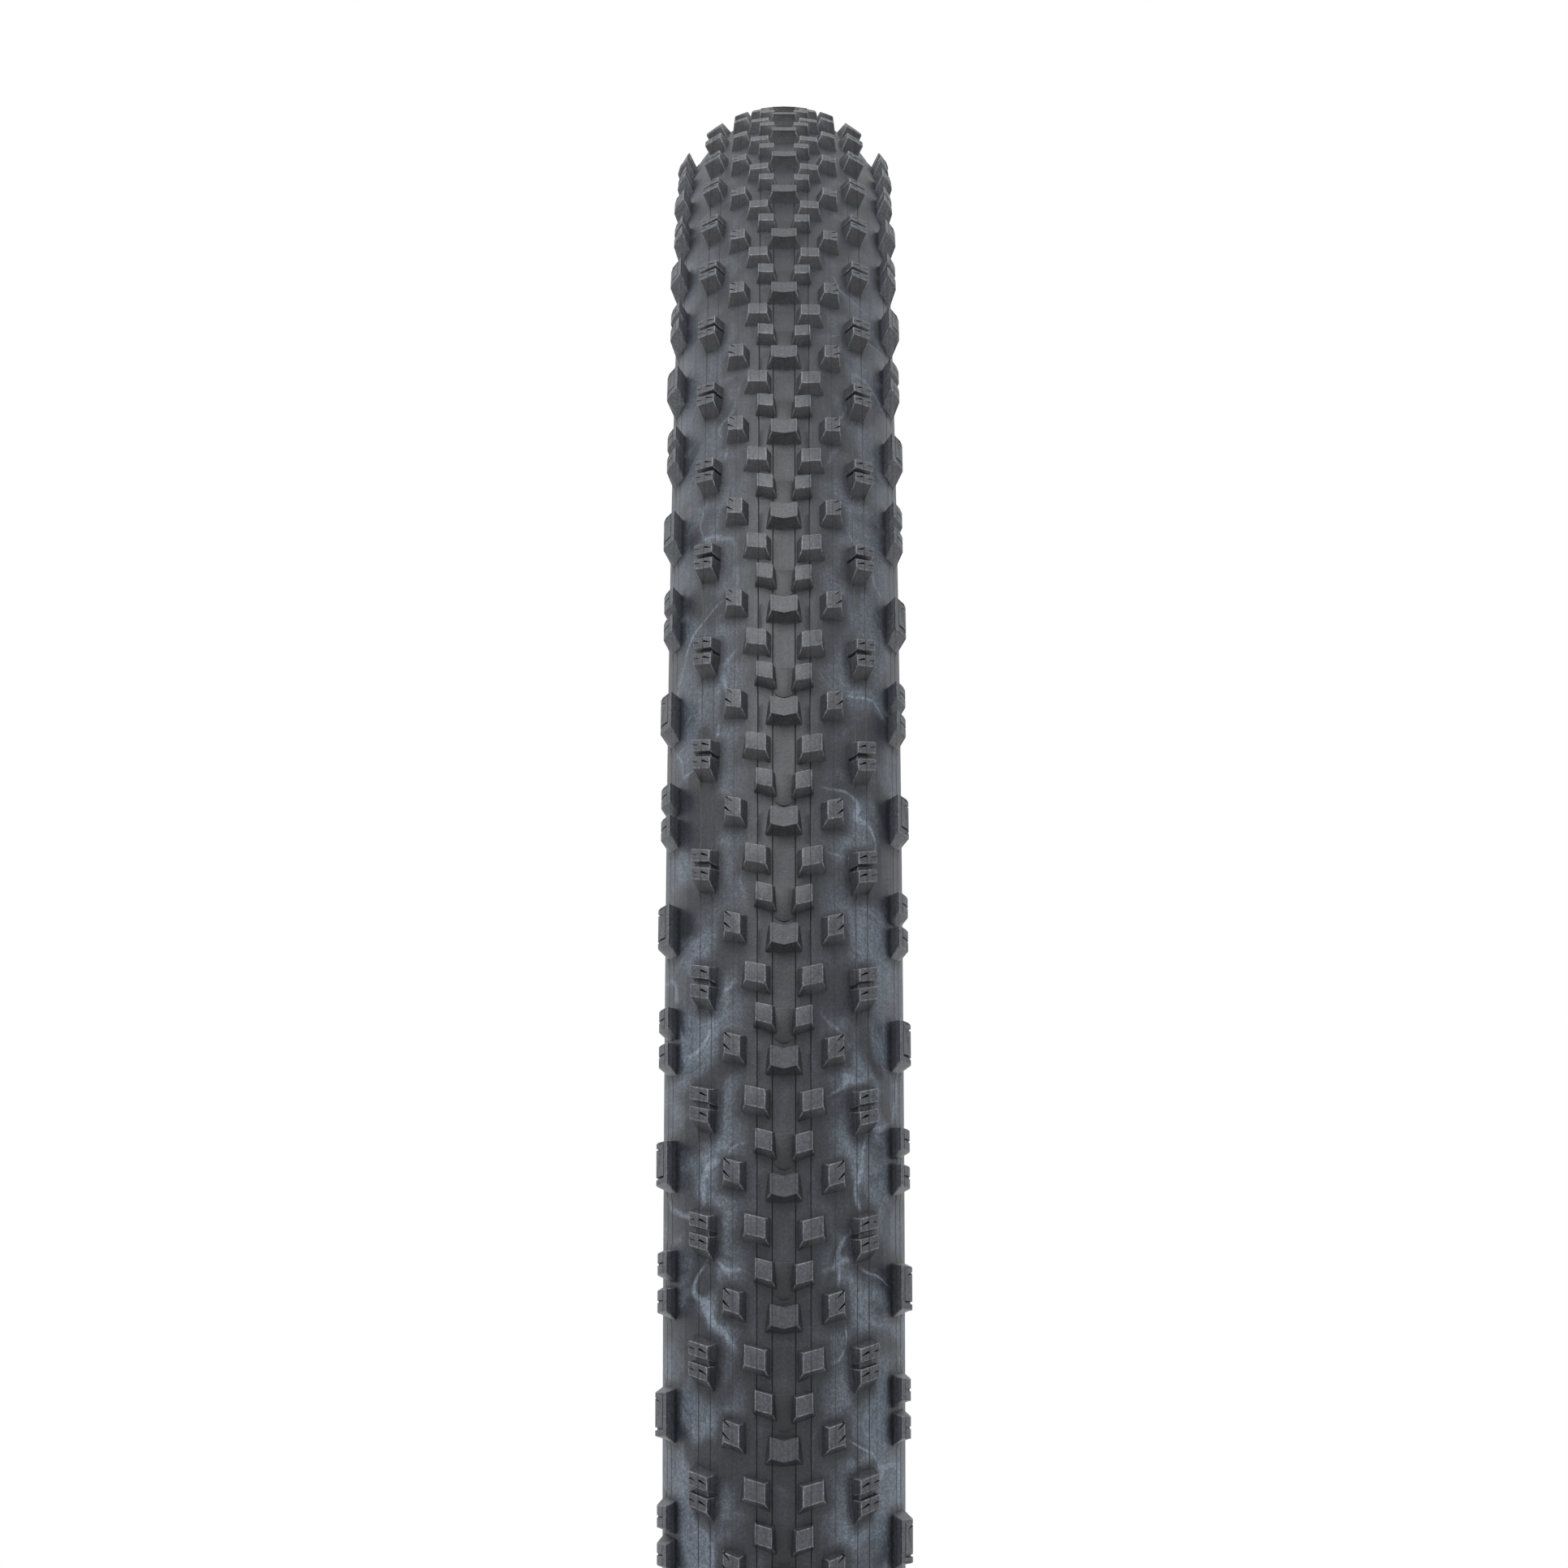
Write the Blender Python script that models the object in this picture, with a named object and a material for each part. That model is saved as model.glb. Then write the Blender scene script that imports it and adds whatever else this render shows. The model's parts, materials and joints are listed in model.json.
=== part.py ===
"""Folding bicycle tyre 56-622: casing, beads, sidewalls and a block tread, each piece its own object.

Run with: blender --background --python part.py. Metres, +Z up, the wheel's axis along +Y, the origin at its centre.
Every layer is a ring turned round the axis. Section points are (y, r): distance along the axis, and from it.
"""

import math

import bmesh
import bpy
from mathutils import Matrix
from mathutils.geometry import delaunay_2d_cdt

MM = 0.001

# Wheel and section
BEAD_SEAT_RADIUS = 311.0 * MM  # half of the 622 mm rim seat
BEAD_HALF_SPREAD = 15.0 * MM  # outer faces of the beads, in a rim 30 mm wide inside
CASING_CENTRE = 336.0 * MM  # radius at which the round casing section is centred
TREAD_ARC_CENTRE = 332.4 * MM
TREAD_ARC_RADIUS = 30.6 * MM
BLOCK_HEIGHT = 3.0 * MM
SEGMENTS = 40  # flats of each layer round the wheel
PITCHES = 80  # repeats of the tread pattern round the wheel
PITCH_ANGLE = math.tau / PITCHES
PATTERN_START = 0.15  # pitches from a chevron block to a segment line, which runs clear of every block
FIRST_CHEVRON = math.radians(1.2)  # angle of the first chevron block above the +X axis
FIRST_LINE = FIRST_CHEVRON + (1.0 - PATTERN_START) * PITCH_ANGLE

# Beads, as (y, r) where two values are given
CORE_RADIUS = 1.6 * MM
CORE_SIDES = 6
CORE_CENTRE = (11.9 * MM, BEAD_SEAT_RADIUS + 3.2 * MM)
CHAFER_THICKNESS = 0.5 * MM
CHAFER_TIP = (17.92 * MM, 318.44 * MM)
CHAFER_SHOULDER = 316.0 * MM
CHAFER_INSIDE = 8.95 * MM
LINER_TOE = (10.2 * MM, 316.96 * MM)
PLY_INSIDE = (9.75 * MM, 315.9 * MM)
PLY_SHOULDER = 316.4 * MM

# Layers, from the air side outwards: radius of the middle of each in the round section, and thickness
GAP = 0.3 * MM
LINER_RADIUS = 22.9 * MM
LINER_THICKNESS = 0.4 * MM
PLY_RADIUS = 23.62 * MM
PLY_THICKNESS = 0.45 * MM
TURN_UP_RADIUS = 24.4 * MM
BELT_THICKNESS = 0.4 * MM
SKIN_RADIUS = 25.25 * MM
SKIN_THICKNESS = 0.7 * MM
TREAD_INNER_RADIUS = 25.9 * MM

# Angles in the round section, in degrees from the crown, shared by every layer so that they nest
STATIONS = (18.0, 50.2, 82.0, 112.0, 133.0)
BELT_EDGE = 46.5
TURN_UP_EDGE = 112.0
SKIN_START = 83.5
STRIP_CLEARANCE = 0.4  # between two strips at their inner edges, to each side of a station

# Tread strips: outer edges along the tread surface from the crown, and inner edges as section angles
STRIP_GAP = GAP / 2
CENTRE_EDGE = math.radians(15.9) * TREAD_ARC_RADIUS
TRANSITION_EDGE = math.radians(45.0) * TREAD_ARC_RADIUS
ARC_EDGE = math.radians(60.0) * TREAD_ARC_RADIUS
WING_BULGE = 0.35 * MM
WING_HEIGHT = 4.2 * MM
TREAD_EDGE = ARC_EDGE + 2 * WING_HEIGHT - STRIP_GAP

# Blocks: (first, last) pitches round the wheel, and edges across the tread as (outer, inner)
CHEVRON_SPAN = (0.925, 1.075)
CHEVRON_HALF_WIDTH = 2.64 * MM
CENTRE_BAR_OUTER, CENTRE_BAR_INNER = (0.22, 0.42), (0.56, 0.74)
CENTRE_BAR_EDGES = (7.4 * MM, 2.19 * MM)
TRANSITION_BAR_OUTER, TRANSITION_BAR_INNER = (0.21, 0.5), (0.79, 0.99)
TRANSITION_BAR_EDGES = (20.4 * MM, 9.1 * MM)
LONG_BLOCK_SPAN = (0.675, 0.97)
PAIR_SPAN = (0.5, 0.965)
SHOULDER_FOOT = (27.2 * MM, ARC_EDGE + 2.6 * MM)
SHOULDER_TOP = (27.5 * MM, 30.65 * MM)


def section_point(radius, degrees):
    """A point of the round casing section, at an angle from the crown."""
    angle = math.radians(degrees)
    return (radius * math.sin(angle), CASING_CENTRE + radius * math.cos(angle))


def layer_point(radius, degrees):
    """A point on a layer's straight facets, between two of the shared stations."""
    size = abs(degrees)
    after = next(i for i, station in enumerate(STATIONS) if station >= size)
    low, high = STATIONS[after - 1] if after else -STATIONS[0], STATIONS[after]
    share = (size - low) / (high - low)
    (y0, r0), (y1, r1) = section_point(radius, low), section_point(radius, high)
    side = math.copysign(1.0, degrees)
    return (side * (y0 + share * (y1 - y0)), r0 + share * (r1 - r0))


def layer_path(radius, start, end):
    """Section points of a layer from one angle to another, with the shared stations between them."""
    both = sorted({-s for s in STATIONS} | set(STATIONS))
    between = [s for s in both if start < s < end]
    return [layer_point(radius, a) for a in (start, *between, end)]


def band(path, thickness):
    """The closed outline of a strip of even thickness that follows a path of section points."""
    sides = ([], [])
    for i, (y, r) in enumerate(path):
        normals = []
        for a, b in ((i - 1, i), (i, i + 1)):
            if a >= 0 and b < len(path):
                dy, dr = path[b][0] - path[a][0], path[b][1] - path[a][1]
                length = math.hypot(dy, dr)
                normals.append((-dr / length, dy / length))
        ny = sum(n[0] for n in normals)
        nr = sum(n[1] for n in normals)
        size = math.hypot(ny, nr)
        ny, nr = ny / size, nr / size
        reach = thickness / 2 / (ny * normals[0][0] + nr * normals[0][1])
        sides[0].append((y + ny * reach, r + nr * reach))
        sides[1].append((y - ny * reach, r - nr * reach))
    return sides[0] + sides[1][::-1]


def mirrored(outline):
    return [(-y, r) for y, r in outline]


def finish(bm, name, material):
    """Turns a bmesh into a named object whose faces point out."""
    bmesh.ops.remove_doubles(bm, verts=bm.verts, dist=1e-6)
    bmesh.ops.recalc_face_normals(bm, faces=bm.faces)
    mesh = bpy.data.meshes.new(name)
    bm.to_mesh(mesh)
    bm.free()
    mesh.materials.append(material)
    piece = bpy.data.objects.new(name, mesh)
    bpy.context.scene.collection.objects.link(piece)
    return piece


def ring(name, outline, material):
    """A closed outline of section points turned round the wheel's axis."""
    bm = bmesh.new()
    verts = [bm.verts.new(turned(0.0, point)) for point in outline]
    edges = [bm.edges.new((a, b)) for a, b in zip(verts, verts[1:] + verts[:1])]
    bmesh.ops.spin(
        bm, geom=verts + edges, axis=(0, 1, 0), cent=(0, 0, 0),
        angle=math.tau, steps=SEGMENTS, use_merge=True, use_duplicate=False,
    )
    return finish(bm, name, material)


def tread_point(along, height):
    """(y, r) of a point on the tread surface, or above it. along is measured from the crown across the tread."""
    side, size = math.copysign(1.0, along), abs(along)
    angle = min(size, ARC_EDGE) / TREAD_ARC_RADIUS
    reach = TREAD_ARC_RADIUS + height
    y, r = reach * math.sin(angle), TREAD_ARC_CENTRE + reach * math.cos(angle)
    down = max(size - ARC_EDGE, 0.0)
    if down > 0.0:
        y = TREAD_ARC_RADIUS * math.sin(angle) + height
        y += WING_BULGE * math.sin(math.pi * down / (2 * WING_HEIGHT))
        r = TREAD_ARC_CENTRE + TREAD_ARC_RADIUS * math.cos(angle) - down
    return (side * y, r)


def turned(pitches, point):
    """A section point placed round the wheel, pitches counted down from the first segment line at the front (+X)."""
    y, r = point
    angle = FIRST_LINE - pitches * PITCH_ANGLE
    return (r * math.cos(angle), y, r * math.sin(angle))


def mirrored_block(block):
    return [(u, -v) for u, v in reversed(block)]


def box_block(span, v0, v1):
    """A straight block over a span of pitches, between two places across the tread."""
    low, high = min(v0, v1), max(v0, v1)
    return slanted_block(span, span, (high, low))


def slanted_block(outer, inner, edges):
    """A block whose ends lean: outer and inner are its (first, last) pitches at its (outer, inner) edges."""
    corners = [(inner[0], edges[1]), (inner[1], edges[1]), (outer[1], edges[0]), (outer[0], edges[0])]
    return shifted(corners, -PATTERN_START)


def tread_strip(name, edges, inner_angles, line_points, blocks, material):
    """One strip of tread with its blocks. edges are its two sides along the tread surface, inner_angles
    the same sides in the round section, and line_points extra points on each segment line between them.
    Each block is (foot corners, top corners) as (pitches, along)."""
    low, high = edges
    cell = 2.0  # pitches between segment lines
    flat = [(u, v) for v in (low, *line_points, high) for u in (0.0, cell)]
    count = len(flat)
    feet = []
    for foot, _ in blocks:
        feet.append(list(range(len(flat), len(flat) + len(foot))))
        flat += foot
    scaled = [(u * PITCH_ANGLE * TREAD_ARC_CENTRE, v) for u, v in flat]
    loops = [(a, b) for ring_ids in feet for a, b in zip(ring_ids, ring_ids[1:] + ring_ids[:1])]
    sides = [(i, i + 2) for i in range(count - 2)]
    ends = [(0, 1), (count - 2, count - 1)]
    points, _, faces, _, _, origins = delaunay_2d_cdt(scaled, loops + sides + ends, feet, 0, 1e-9)
    base = [
        [(points[i][0] / (PITCH_ANGLE * TREAD_ARC_CENTRE), points[i][1], 0.0) for i in face]
        for face, origin in zip(faces, origins) if not origin
    ]
    outer = [[(u, tread_point(v, h)) for u, v, h in face] for face in base]
    for foot, top in blocks:
        feet_at = [(u, tread_point(v, 0.0)) for u, v in foot]
        tops_at = [(u, tread_point(v, BLOCK_HEIGHT)) for u, v in top]
        outer.append(tops_at)
        for i in range(len(foot)):
            j = (i + 1) % len(foot)
            outer.append([feet_at[i], feet_at[j], tops_at[j], tops_at[i]])
    inner = layer_path(TREAD_INNER_RADIUS, *inner_angles)
    for a, b in zip(inner, inner[1:]):
        outer.append([(0.0, a), (cell, a), (cell, b), (0.0, b)])
    for edge, point in ((low, inner[0]), (high, inner[-1])):
        rim = tread_point(edge, 0.0)
        outer.append([(0.0, rim), (cell, rim), (cell, point), (0.0, point)])
    bm = bmesh.new()
    for face in outer:
        bm.faces.new([bm.verts.new(turned(u, point)) for u, point in face])
    one_cell = bm.faces[:]
    for i in range(1, SEGMENTS):
        copy = bmesh.ops.duplicate(bm, geom=one_cell)["geom"]
        turn = Matrix.Rotation(i * math.tau / SEGMENTS, 3, "Y")
        bmesh.ops.rotate(bm, cent=(0, 0, 0), matrix=turn, verts=[e for e in copy if isinstance(e, bmesh.types.BMVert)])
    return finish(bm, name, material)


def shifted(block, pitches):
    return [(u + pitches, v) for u, v in block]


def repeated(block):
    """The same block in both pitches of a cell, as (foot, top) pairs."""
    return [(shifted(block, pitch), shifted(block, pitch)) for pitch in (0.0, 1.0)]


def centre_tread(material):
    """Chevron blocks on the crown, and on each side a slanted bar for the two staggered centre blocks."""
    chevron = box_block(CHEVRON_SPAN, -CHEVRON_HALF_WIDTH, CHEVRON_HALF_WIDTH)
    bar = slanted_block(CENTRE_BAR_OUTER, CENTRE_BAR_INNER, CENTRE_BAR_EDGES)
    blocks = repeated(chevron) + repeated(bar) + repeated(mirrored_block(bar))
    edge = CENTRE_EDGE - STRIP_GAP
    inner = STATIONS[0] - STRIP_CLEARANCE
    tread_strip("centre_tread", (-edge, edge), (-inner, inner), (0.0,), blocks, material)


def transition_tread(name, side, material):
    """A slanted bar in each pitch for the two staggered transition blocks."""
    bar = slanted_block(TRANSITION_BAR_OUTER, TRANSITION_BAR_INNER, TRANSITION_BAR_EDGES)
    inner, outer = CENTRE_EDGE + STRIP_GAP, TRANSITION_EDGE - STRIP_GAP
    angles = (STATIONS[0] + STRIP_CLEARANCE, STATIONS[1] - STRIP_CLEARANCE)
    if side < 0:
        blocks = repeated(mirrored_block(bar))
        tread_strip(name, (-outer, -inner), (-angles[1], -angles[0]), (), blocks, material)
    else:
        tread_strip(name, (inner, outer), angles, (), repeated(bar), material)


def shoulder_tread(name, side, material):
    """One long shoulder block and one pair of short ones, drawn together, in every two pitches."""
    long_pitch = 0.0 if side < 0 else 1.0
    blocks = []
    for span, pitch in ((LONG_BLOCK_SPAN, long_pitch), (PAIR_SPAN, 1.0 - long_pitch)):
        foot, top = [box_block(span, side * near, side * far) for near, far in (SHOULDER_FOOT, SHOULDER_TOP)]
        blocks.append((shifted(foot, pitch), shifted(top, pitch)))
    inner = TRANSITION_EDGE + STRIP_GAP
    angles = (STATIONS[1] + STRIP_CLEARANCE, STATIONS[2])
    wing = ARC_EDGE + WING_HEIGHT
    if side < 0:
        tread_strip(name, (-TREAD_EDGE, -inner), (-angles[1], -angles[0]), (-wing, -ARC_EDGE), blocks, material)
    else:
        tread_strip(name, (inner, TREAD_EDGE), angles, (ARC_EDGE, wing), blocks, material)


def bead_wrap_path():
    """The ply's path from its turned-up edge, down outside the bead core, under it and up to the round section."""
    outside = BEAD_HALF_SPREAD - CHAFER_THICKNESS - GAP - PLY_THICKNESS / 2
    under = BEAD_SEAT_RADIUS + CHAFER_THICKNESS + GAP + PLY_THICKNESS / 2
    turn_up = layer_path(TURN_UP_RADIUS, TURN_UP_EDGE, STATIONS[-1])
    core_side = [(outside, PLY_SHOULDER), (outside, under), (PLY_INSIDE[0], under), PLY_INSIDE]
    return turn_up + core_side


def casing_ply(material):
    """One sheet of nylon ply: bead to bead inside, wrapped round both bead cores and turned up outside."""
    right = bead_wrap_path()
    body = layer_path(PLY_RADIUS, -STATIONS[-1], STATIONS[-1])
    ring("casing_ply", band(mirrored(right) + body + right[::-1], PLY_THICKNESS), material)


def inner_liner(material):
    """The airtight skin on the inside of the casing, from bead toe to bead toe."""
    body = [layer_point(LINER_RADIUS, a) for a in sorted({-s for s in STATIONS} | set(STATIONS))]
    ring("inner_liner", band(mirrored([LINER_TOE]) + body + [LINER_TOE], LINER_THICKNESS), material)


def tread_base(material):
    """The thin cushion of rubber between the belt and the tread strips."""
    path = layer_path(SKIN_RADIUS, -STATIONS[2], STATIONS[2])
    ring("tread_base", band(path, SKIN_THICKNESS), material)


def puncture_belt(material):
    """The woven breaker under the crown, between the turned-up edges of the ply."""
    ring("puncture_belt", band(layer_path(TURN_UP_RADIUS, -BELT_EDGE, BELT_EDGE), BELT_THICKNESS), material)


def sidewall(name, side, material):
    """The rubber skin from the edge of the tread down to the rim's flange."""
    outline = band(layer_path(SKIN_RADIUS, SKIN_START, STATIONS[-1]), SKIN_THICKNESS)
    ring(name, outline if side > 0 else mirrored(outline), material)


def chafer(name, side, material):
    """The rubbed strip round the bead. Its outer side is the flat ring that bears on the rim's flange."""
    outside = BEAD_HALF_SPREAD - CHAFER_THICKNESS / 2
    under = BEAD_SEAT_RADIUS + CHAFER_THICKNESS / 2
    path = [CHAFER_TIP, (outside, CHAFER_SHOULDER), (outside, under), (CHAFER_INSIDE, under)]
    outline = band(path, CHAFER_THICKNESS)
    ring(name, outline if side > 0 else mirrored(outline), material)


def bead_core(name, side, material):
    """The bundle of aramid cord that holds the tyre on the rim."""
    centre_y, centre_r = CORE_CENTRE
    turns = [i * math.tau / CORE_SIDES for i in range(CORE_SIDES)]
    outline = [(side * (centre_y + CORE_RADIUS * math.sin(t)), centre_r + CORE_RADIUS * math.cos(t)) for t in turns]
    ring(name, outline, material)


def material(name, colour, roughness):
    made = bpy.data.materials.new(name)
    made.use_nodes = True
    shader = made.node_tree.nodes["Principled BSDF"]
    shader.inputs["Base Color"].default_value = (*colour, 1.0)
    shader.inputs["Roughness"].default_value = roughness
    shader.inputs["Metallic"].default_value = 0.0
    return made


def main():
    for old in list(bpy.data.objects):
        bpy.data.objects.remove(old)
    tread = material("tread_rubber", (0.085, 0.088, 0.095), 0.6)
    shoulder = material("shoulder_rubber", (0.10, 0.105, 0.115), 0.6)
    sidewall_rubber = material("sidewall_rubber", (0.07, 0.072, 0.078), 0.55)
    base_rubber = material("base_rubber", (0.05, 0.05, 0.055), 0.6)
    nylon = material("nylon_ply", (0.16, 0.14, 0.11), 0.8)
    belt = material("belt_fabric", (0.45, 0.42, 0.34), 0.85)
    chafer_cloth = material("chafer_cloth", (0.045, 0.045, 0.05), 0.75)
    butyl = material("liner_butyl", (0.03, 0.03, 0.032), 0.4)
    aramid = material("aramid_cord", (0.72, 0.58, 0.22), 0.7)
    centre_tread(tread)
    tread_base(base_rubber)
    puncture_belt(belt)
    casing_ply(nylon)
    inner_liner(butyl)
    for suffix, side in (("left", -1), ("right", 1)):
        transition_tread("transition_tread_" + suffix, side, tread)
        shoulder_tread("shoulder_tread_" + suffix, side, shoulder)
        sidewall("sidewall_" + suffix, side, sidewall_rubber)
        chafer("chafer_" + suffix, side, chafer_cloth)
        bead_core("bead_core_" + suffix, side, aramid)


main()
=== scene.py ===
"""Wide folding bicycle tyre 56-622: block tread, sidewalls, beads and casing layers, on a studio stage.

Lengths are in millimetres on the tread's flat pattern and in a section of the tyre, and in metres in the
scene. The wheel's axis is +Y. On the flat pattern u runs round the wheel, v across the casing and h out
from it. A section point (y, r) is a distance along the axis, and one from it.
"""

import functools
import json
import math
from typing import NamedTuple

import bmesh
import bpy
from bpy.props import FloatProperty, FloatVectorProperty, IntProperty, PointerProperty
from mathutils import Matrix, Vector
from mathutils.bvhtree import BVHTree

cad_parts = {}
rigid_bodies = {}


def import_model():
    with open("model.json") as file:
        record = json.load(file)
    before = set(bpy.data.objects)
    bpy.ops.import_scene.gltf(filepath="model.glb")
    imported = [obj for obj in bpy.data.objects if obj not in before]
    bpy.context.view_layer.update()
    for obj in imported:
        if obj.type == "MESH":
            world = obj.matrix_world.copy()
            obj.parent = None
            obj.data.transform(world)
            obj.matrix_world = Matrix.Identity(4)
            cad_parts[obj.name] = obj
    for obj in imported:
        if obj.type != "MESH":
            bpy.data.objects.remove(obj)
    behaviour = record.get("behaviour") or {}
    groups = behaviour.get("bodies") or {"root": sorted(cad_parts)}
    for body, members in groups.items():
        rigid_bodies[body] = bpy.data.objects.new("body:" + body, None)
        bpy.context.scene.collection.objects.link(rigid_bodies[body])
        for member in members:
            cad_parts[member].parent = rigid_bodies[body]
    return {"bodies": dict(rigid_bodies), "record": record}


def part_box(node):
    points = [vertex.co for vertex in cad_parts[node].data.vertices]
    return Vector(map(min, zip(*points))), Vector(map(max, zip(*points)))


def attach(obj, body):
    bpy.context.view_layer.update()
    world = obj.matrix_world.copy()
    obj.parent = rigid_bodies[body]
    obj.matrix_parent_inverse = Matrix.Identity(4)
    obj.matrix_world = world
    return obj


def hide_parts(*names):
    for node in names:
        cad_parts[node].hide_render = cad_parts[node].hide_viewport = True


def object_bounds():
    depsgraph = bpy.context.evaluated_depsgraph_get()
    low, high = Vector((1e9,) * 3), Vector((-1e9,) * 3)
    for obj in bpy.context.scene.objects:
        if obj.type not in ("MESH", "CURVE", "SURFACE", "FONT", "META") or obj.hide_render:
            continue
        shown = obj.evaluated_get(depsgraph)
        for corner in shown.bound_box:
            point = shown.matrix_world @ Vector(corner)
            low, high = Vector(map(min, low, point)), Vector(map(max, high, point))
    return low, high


bl_info = {
    "name": "Folding block-tread tyre",
    "version": (1, 0, 0),
    "blender": (4, 5, 0),
    "location": "View3D > Sidebar > Tyre",
    "description": "Builds the tread, sidewalls, beads and casing layers of a wide folding bicycle tyre",
    "category": "Add Mesh",
}

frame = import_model()
CAD_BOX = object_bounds()
MM = 0.001
BODY = next(iter(frame["bodies"]))

# Section of the tyre, in millimetres
OUTSIDE_RADIUS = round(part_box("centre_tread")[1].x / MM)
CASING_ARC = 27.0
CASING_CENTRE = OUTSIDE_RADIUS - 30.0
BLOCK_ARC = 33.6
BLOCK_CENTRE = OUTSIDE_RADIUS - BLOCK_ARC
BEAD_FACE = next(m for m in frame["record"]["mounts"] if m["name"] == "bead_face_right")["pos_m"][1] / MM
BEAD_SEAT = 311.0
CORE_MIDDLE = (11.9, BEAD_SEAT + 3.2)
CORE_RADIUS = 1.6

# Layers, from the air side outwards: radius of each layer's two sides in the round section
LINER = (22.7, 23.1)
PLY = (23.4, 23.85)
BELT = (24.2, 24.6)
SKIN = (24.9, 25.6)
TREAD_INSIDE = 25.9

# Sidewalls
SIDEWALL_RADIUS = 25.75
SHOULDER_SWELL = 1.2  # how much thicker the wall is where it meets the shoulder
SWELL_REACH = 0.2  # as a share of the way down the wall, like the rings' places
SIDEWALL_STEPS = 110
FINE_RINGS = (0.10, 0.34)
FINE_RING_HEIGHT = 0.16
WALL_RINGS = ((0.36, 0.385, 0.3), (0.80, 0.83, 0.3), (0.88, 0.90, 0.22), (0.93, 0.95, 0.22))

# Where layers end in the round section, in degrees from the crown
BELT_EDGE = 46.5
SKIN_EDGE = 82.0
TURN_UP_EDGE = 112.0
LOWEST = 133.0

# Mesh
RING_SEGMENTS = 320
HIDDEN_SEGMENTS = 160
MERGE_DISTANCE = 2e-6  # metres
SHARP_EDGE = math.radians(38)

# Angles round the wheel from a chevron to the blocks of its pitch, in degrees
OUTER_ANGLE = -1.44
INNER_ANGLE = -2.95
TONGUE_ANGLE = -2.93
SINGLE_ANGLE = 0.51
DOUBLE_ANGLE = -1.49
LONG_ANGLE = 1.23
PAIR_ANGLE = 1.43

# Tread blocks
HALF_SHIFT = 0.3  # how far the left half of the pattern is set forward, and the right half back
FOOT_DEPTH = 0.45  # how far a block's foot is sunk in the floor
SHARP_CORNER = math.radians(40)  # a corner that turns more than this is cut
FILLET_SHARE = 0.22  # share of a wall's height that its fillet takes up
FILLET_LEAN = 0.06  # how far the wall draws in there, as a share of its lean
EDGE_FULLNESS = 0.45  # how far the rounded top edge stands out from a plain chamfer
SLIT_CLEARANCE = 1.5  # how far a slit's cutter stands above the block

# Edges of the tread strips, as arc lengths across the casing from the crown
CENTRE_EDGE = 11.6
TRANSITION_EDGE = 25.3
SHOULDER_EDGE = 38.6

# Fine lines where the mould's rings meet: distance from the tyre's middle, and how dark each is
MOULD_LINES = ((2.54, 0.9), (5.9, 0.9), (11.2, 0.6), (16.0, 0.75), (18.6, 0.9), (24.6, 0.45), (25.6, 0.45))
LINE_HALF_WIDTH = 0.16
EDGE_CLEARANCE = 0.4  # least distance of a line from a strip's edge
LINE_CLEARANCE = 0.45  # least distance of the floor's other mesh lines from a mould line

# The floor beside a block: how far its fillet and the painted shade round the block reach
FILLET_REACH = 1.6
NEAR_REACH = 3.5
FAR = 9.0  # further than either needs

# Camera and floor, in metres, and the lens in millimetres
CAMERA_PLACE = (1.624, 0.0, 0.18)
CAMERA_LENS = 134.1
CAMERA_SENSOR = 36.0
FLOOR_RADIUS = 2.3

# Soft boxes: where each stands and how wide it is, in metres
KEY_LIGHT = ((0.9, -0.35, 2.3), 1.8)
FRONT_LIGHT = ((2.6, 0.9, 0.9), 1.6)
RIM_LIGHT = ((-0.9, -2.0, 1.0), 1.2)

# Patterns in the materials, as repeats in a millimetre
WARPS = 0.045  # slow bends of the bloom, about 22 mm long
BLOOM_PATCHES = 0.07  # about 14 mm across
BLOOM_WISPS = 0.028  # about 36 mm apart
CRINKLES = 0.9  # about 1.1 mm
GRAINS = 1.7  # 0.6 mm, several times as coarse as a mould's blasted grain, so that it shows
GRIT = 3.0  # 0.3 mm, coarser than the real grit for the same reason
TREAD_STREAKS = (0.03, 1.5, 0.2)
SIDEWALL_STREAKS = (0.004, 0.3, 2.2)
SIDEWALL_CLOUDS = 0.05  # 20 mm across
SIDEWALL_GRIT = 2.5
STAINS = 0.12  # 8 mm across
PAPER_FIBRES = 0.8
WARP_REACH = 30.0  # millimetres that the slow bends move a pattern
TREAD_RELIEF = 0.14  # millimetres
FINE_RELIEF = 0.1
RUBBER_IOR = 1.52


def linear(hex_colour):
    """An sRGB hex colour as linear RGBA."""
    parts = [int(hex_colour[i : i + 2], 16) / 255 for i in (1, 3, 5)]
    return (*[c / 12.92 if c <= 0.04045 else ((c + 0.055) / 1.055) ** 2.4 for c in parts], 1.0)


def colour_property(name, description, hex_colour):
    return FloatVectorProperty(
        name=name, description=description, default=linear(hex_colour), size=4, min=0.0, max=1.0,
        subtype="COLOR",
    )


def length_property(name, description, millimetres):
    return FloatProperty(
        name=name, description=description, default=millimetres * MM, min=0.0, precision=5,
        subtype="DISTANCE",
    )


def power_property(name, description, watts):
    return FloatProperty(name=name, description=description, default=watts, min=0.0, unit="POWER")


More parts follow.
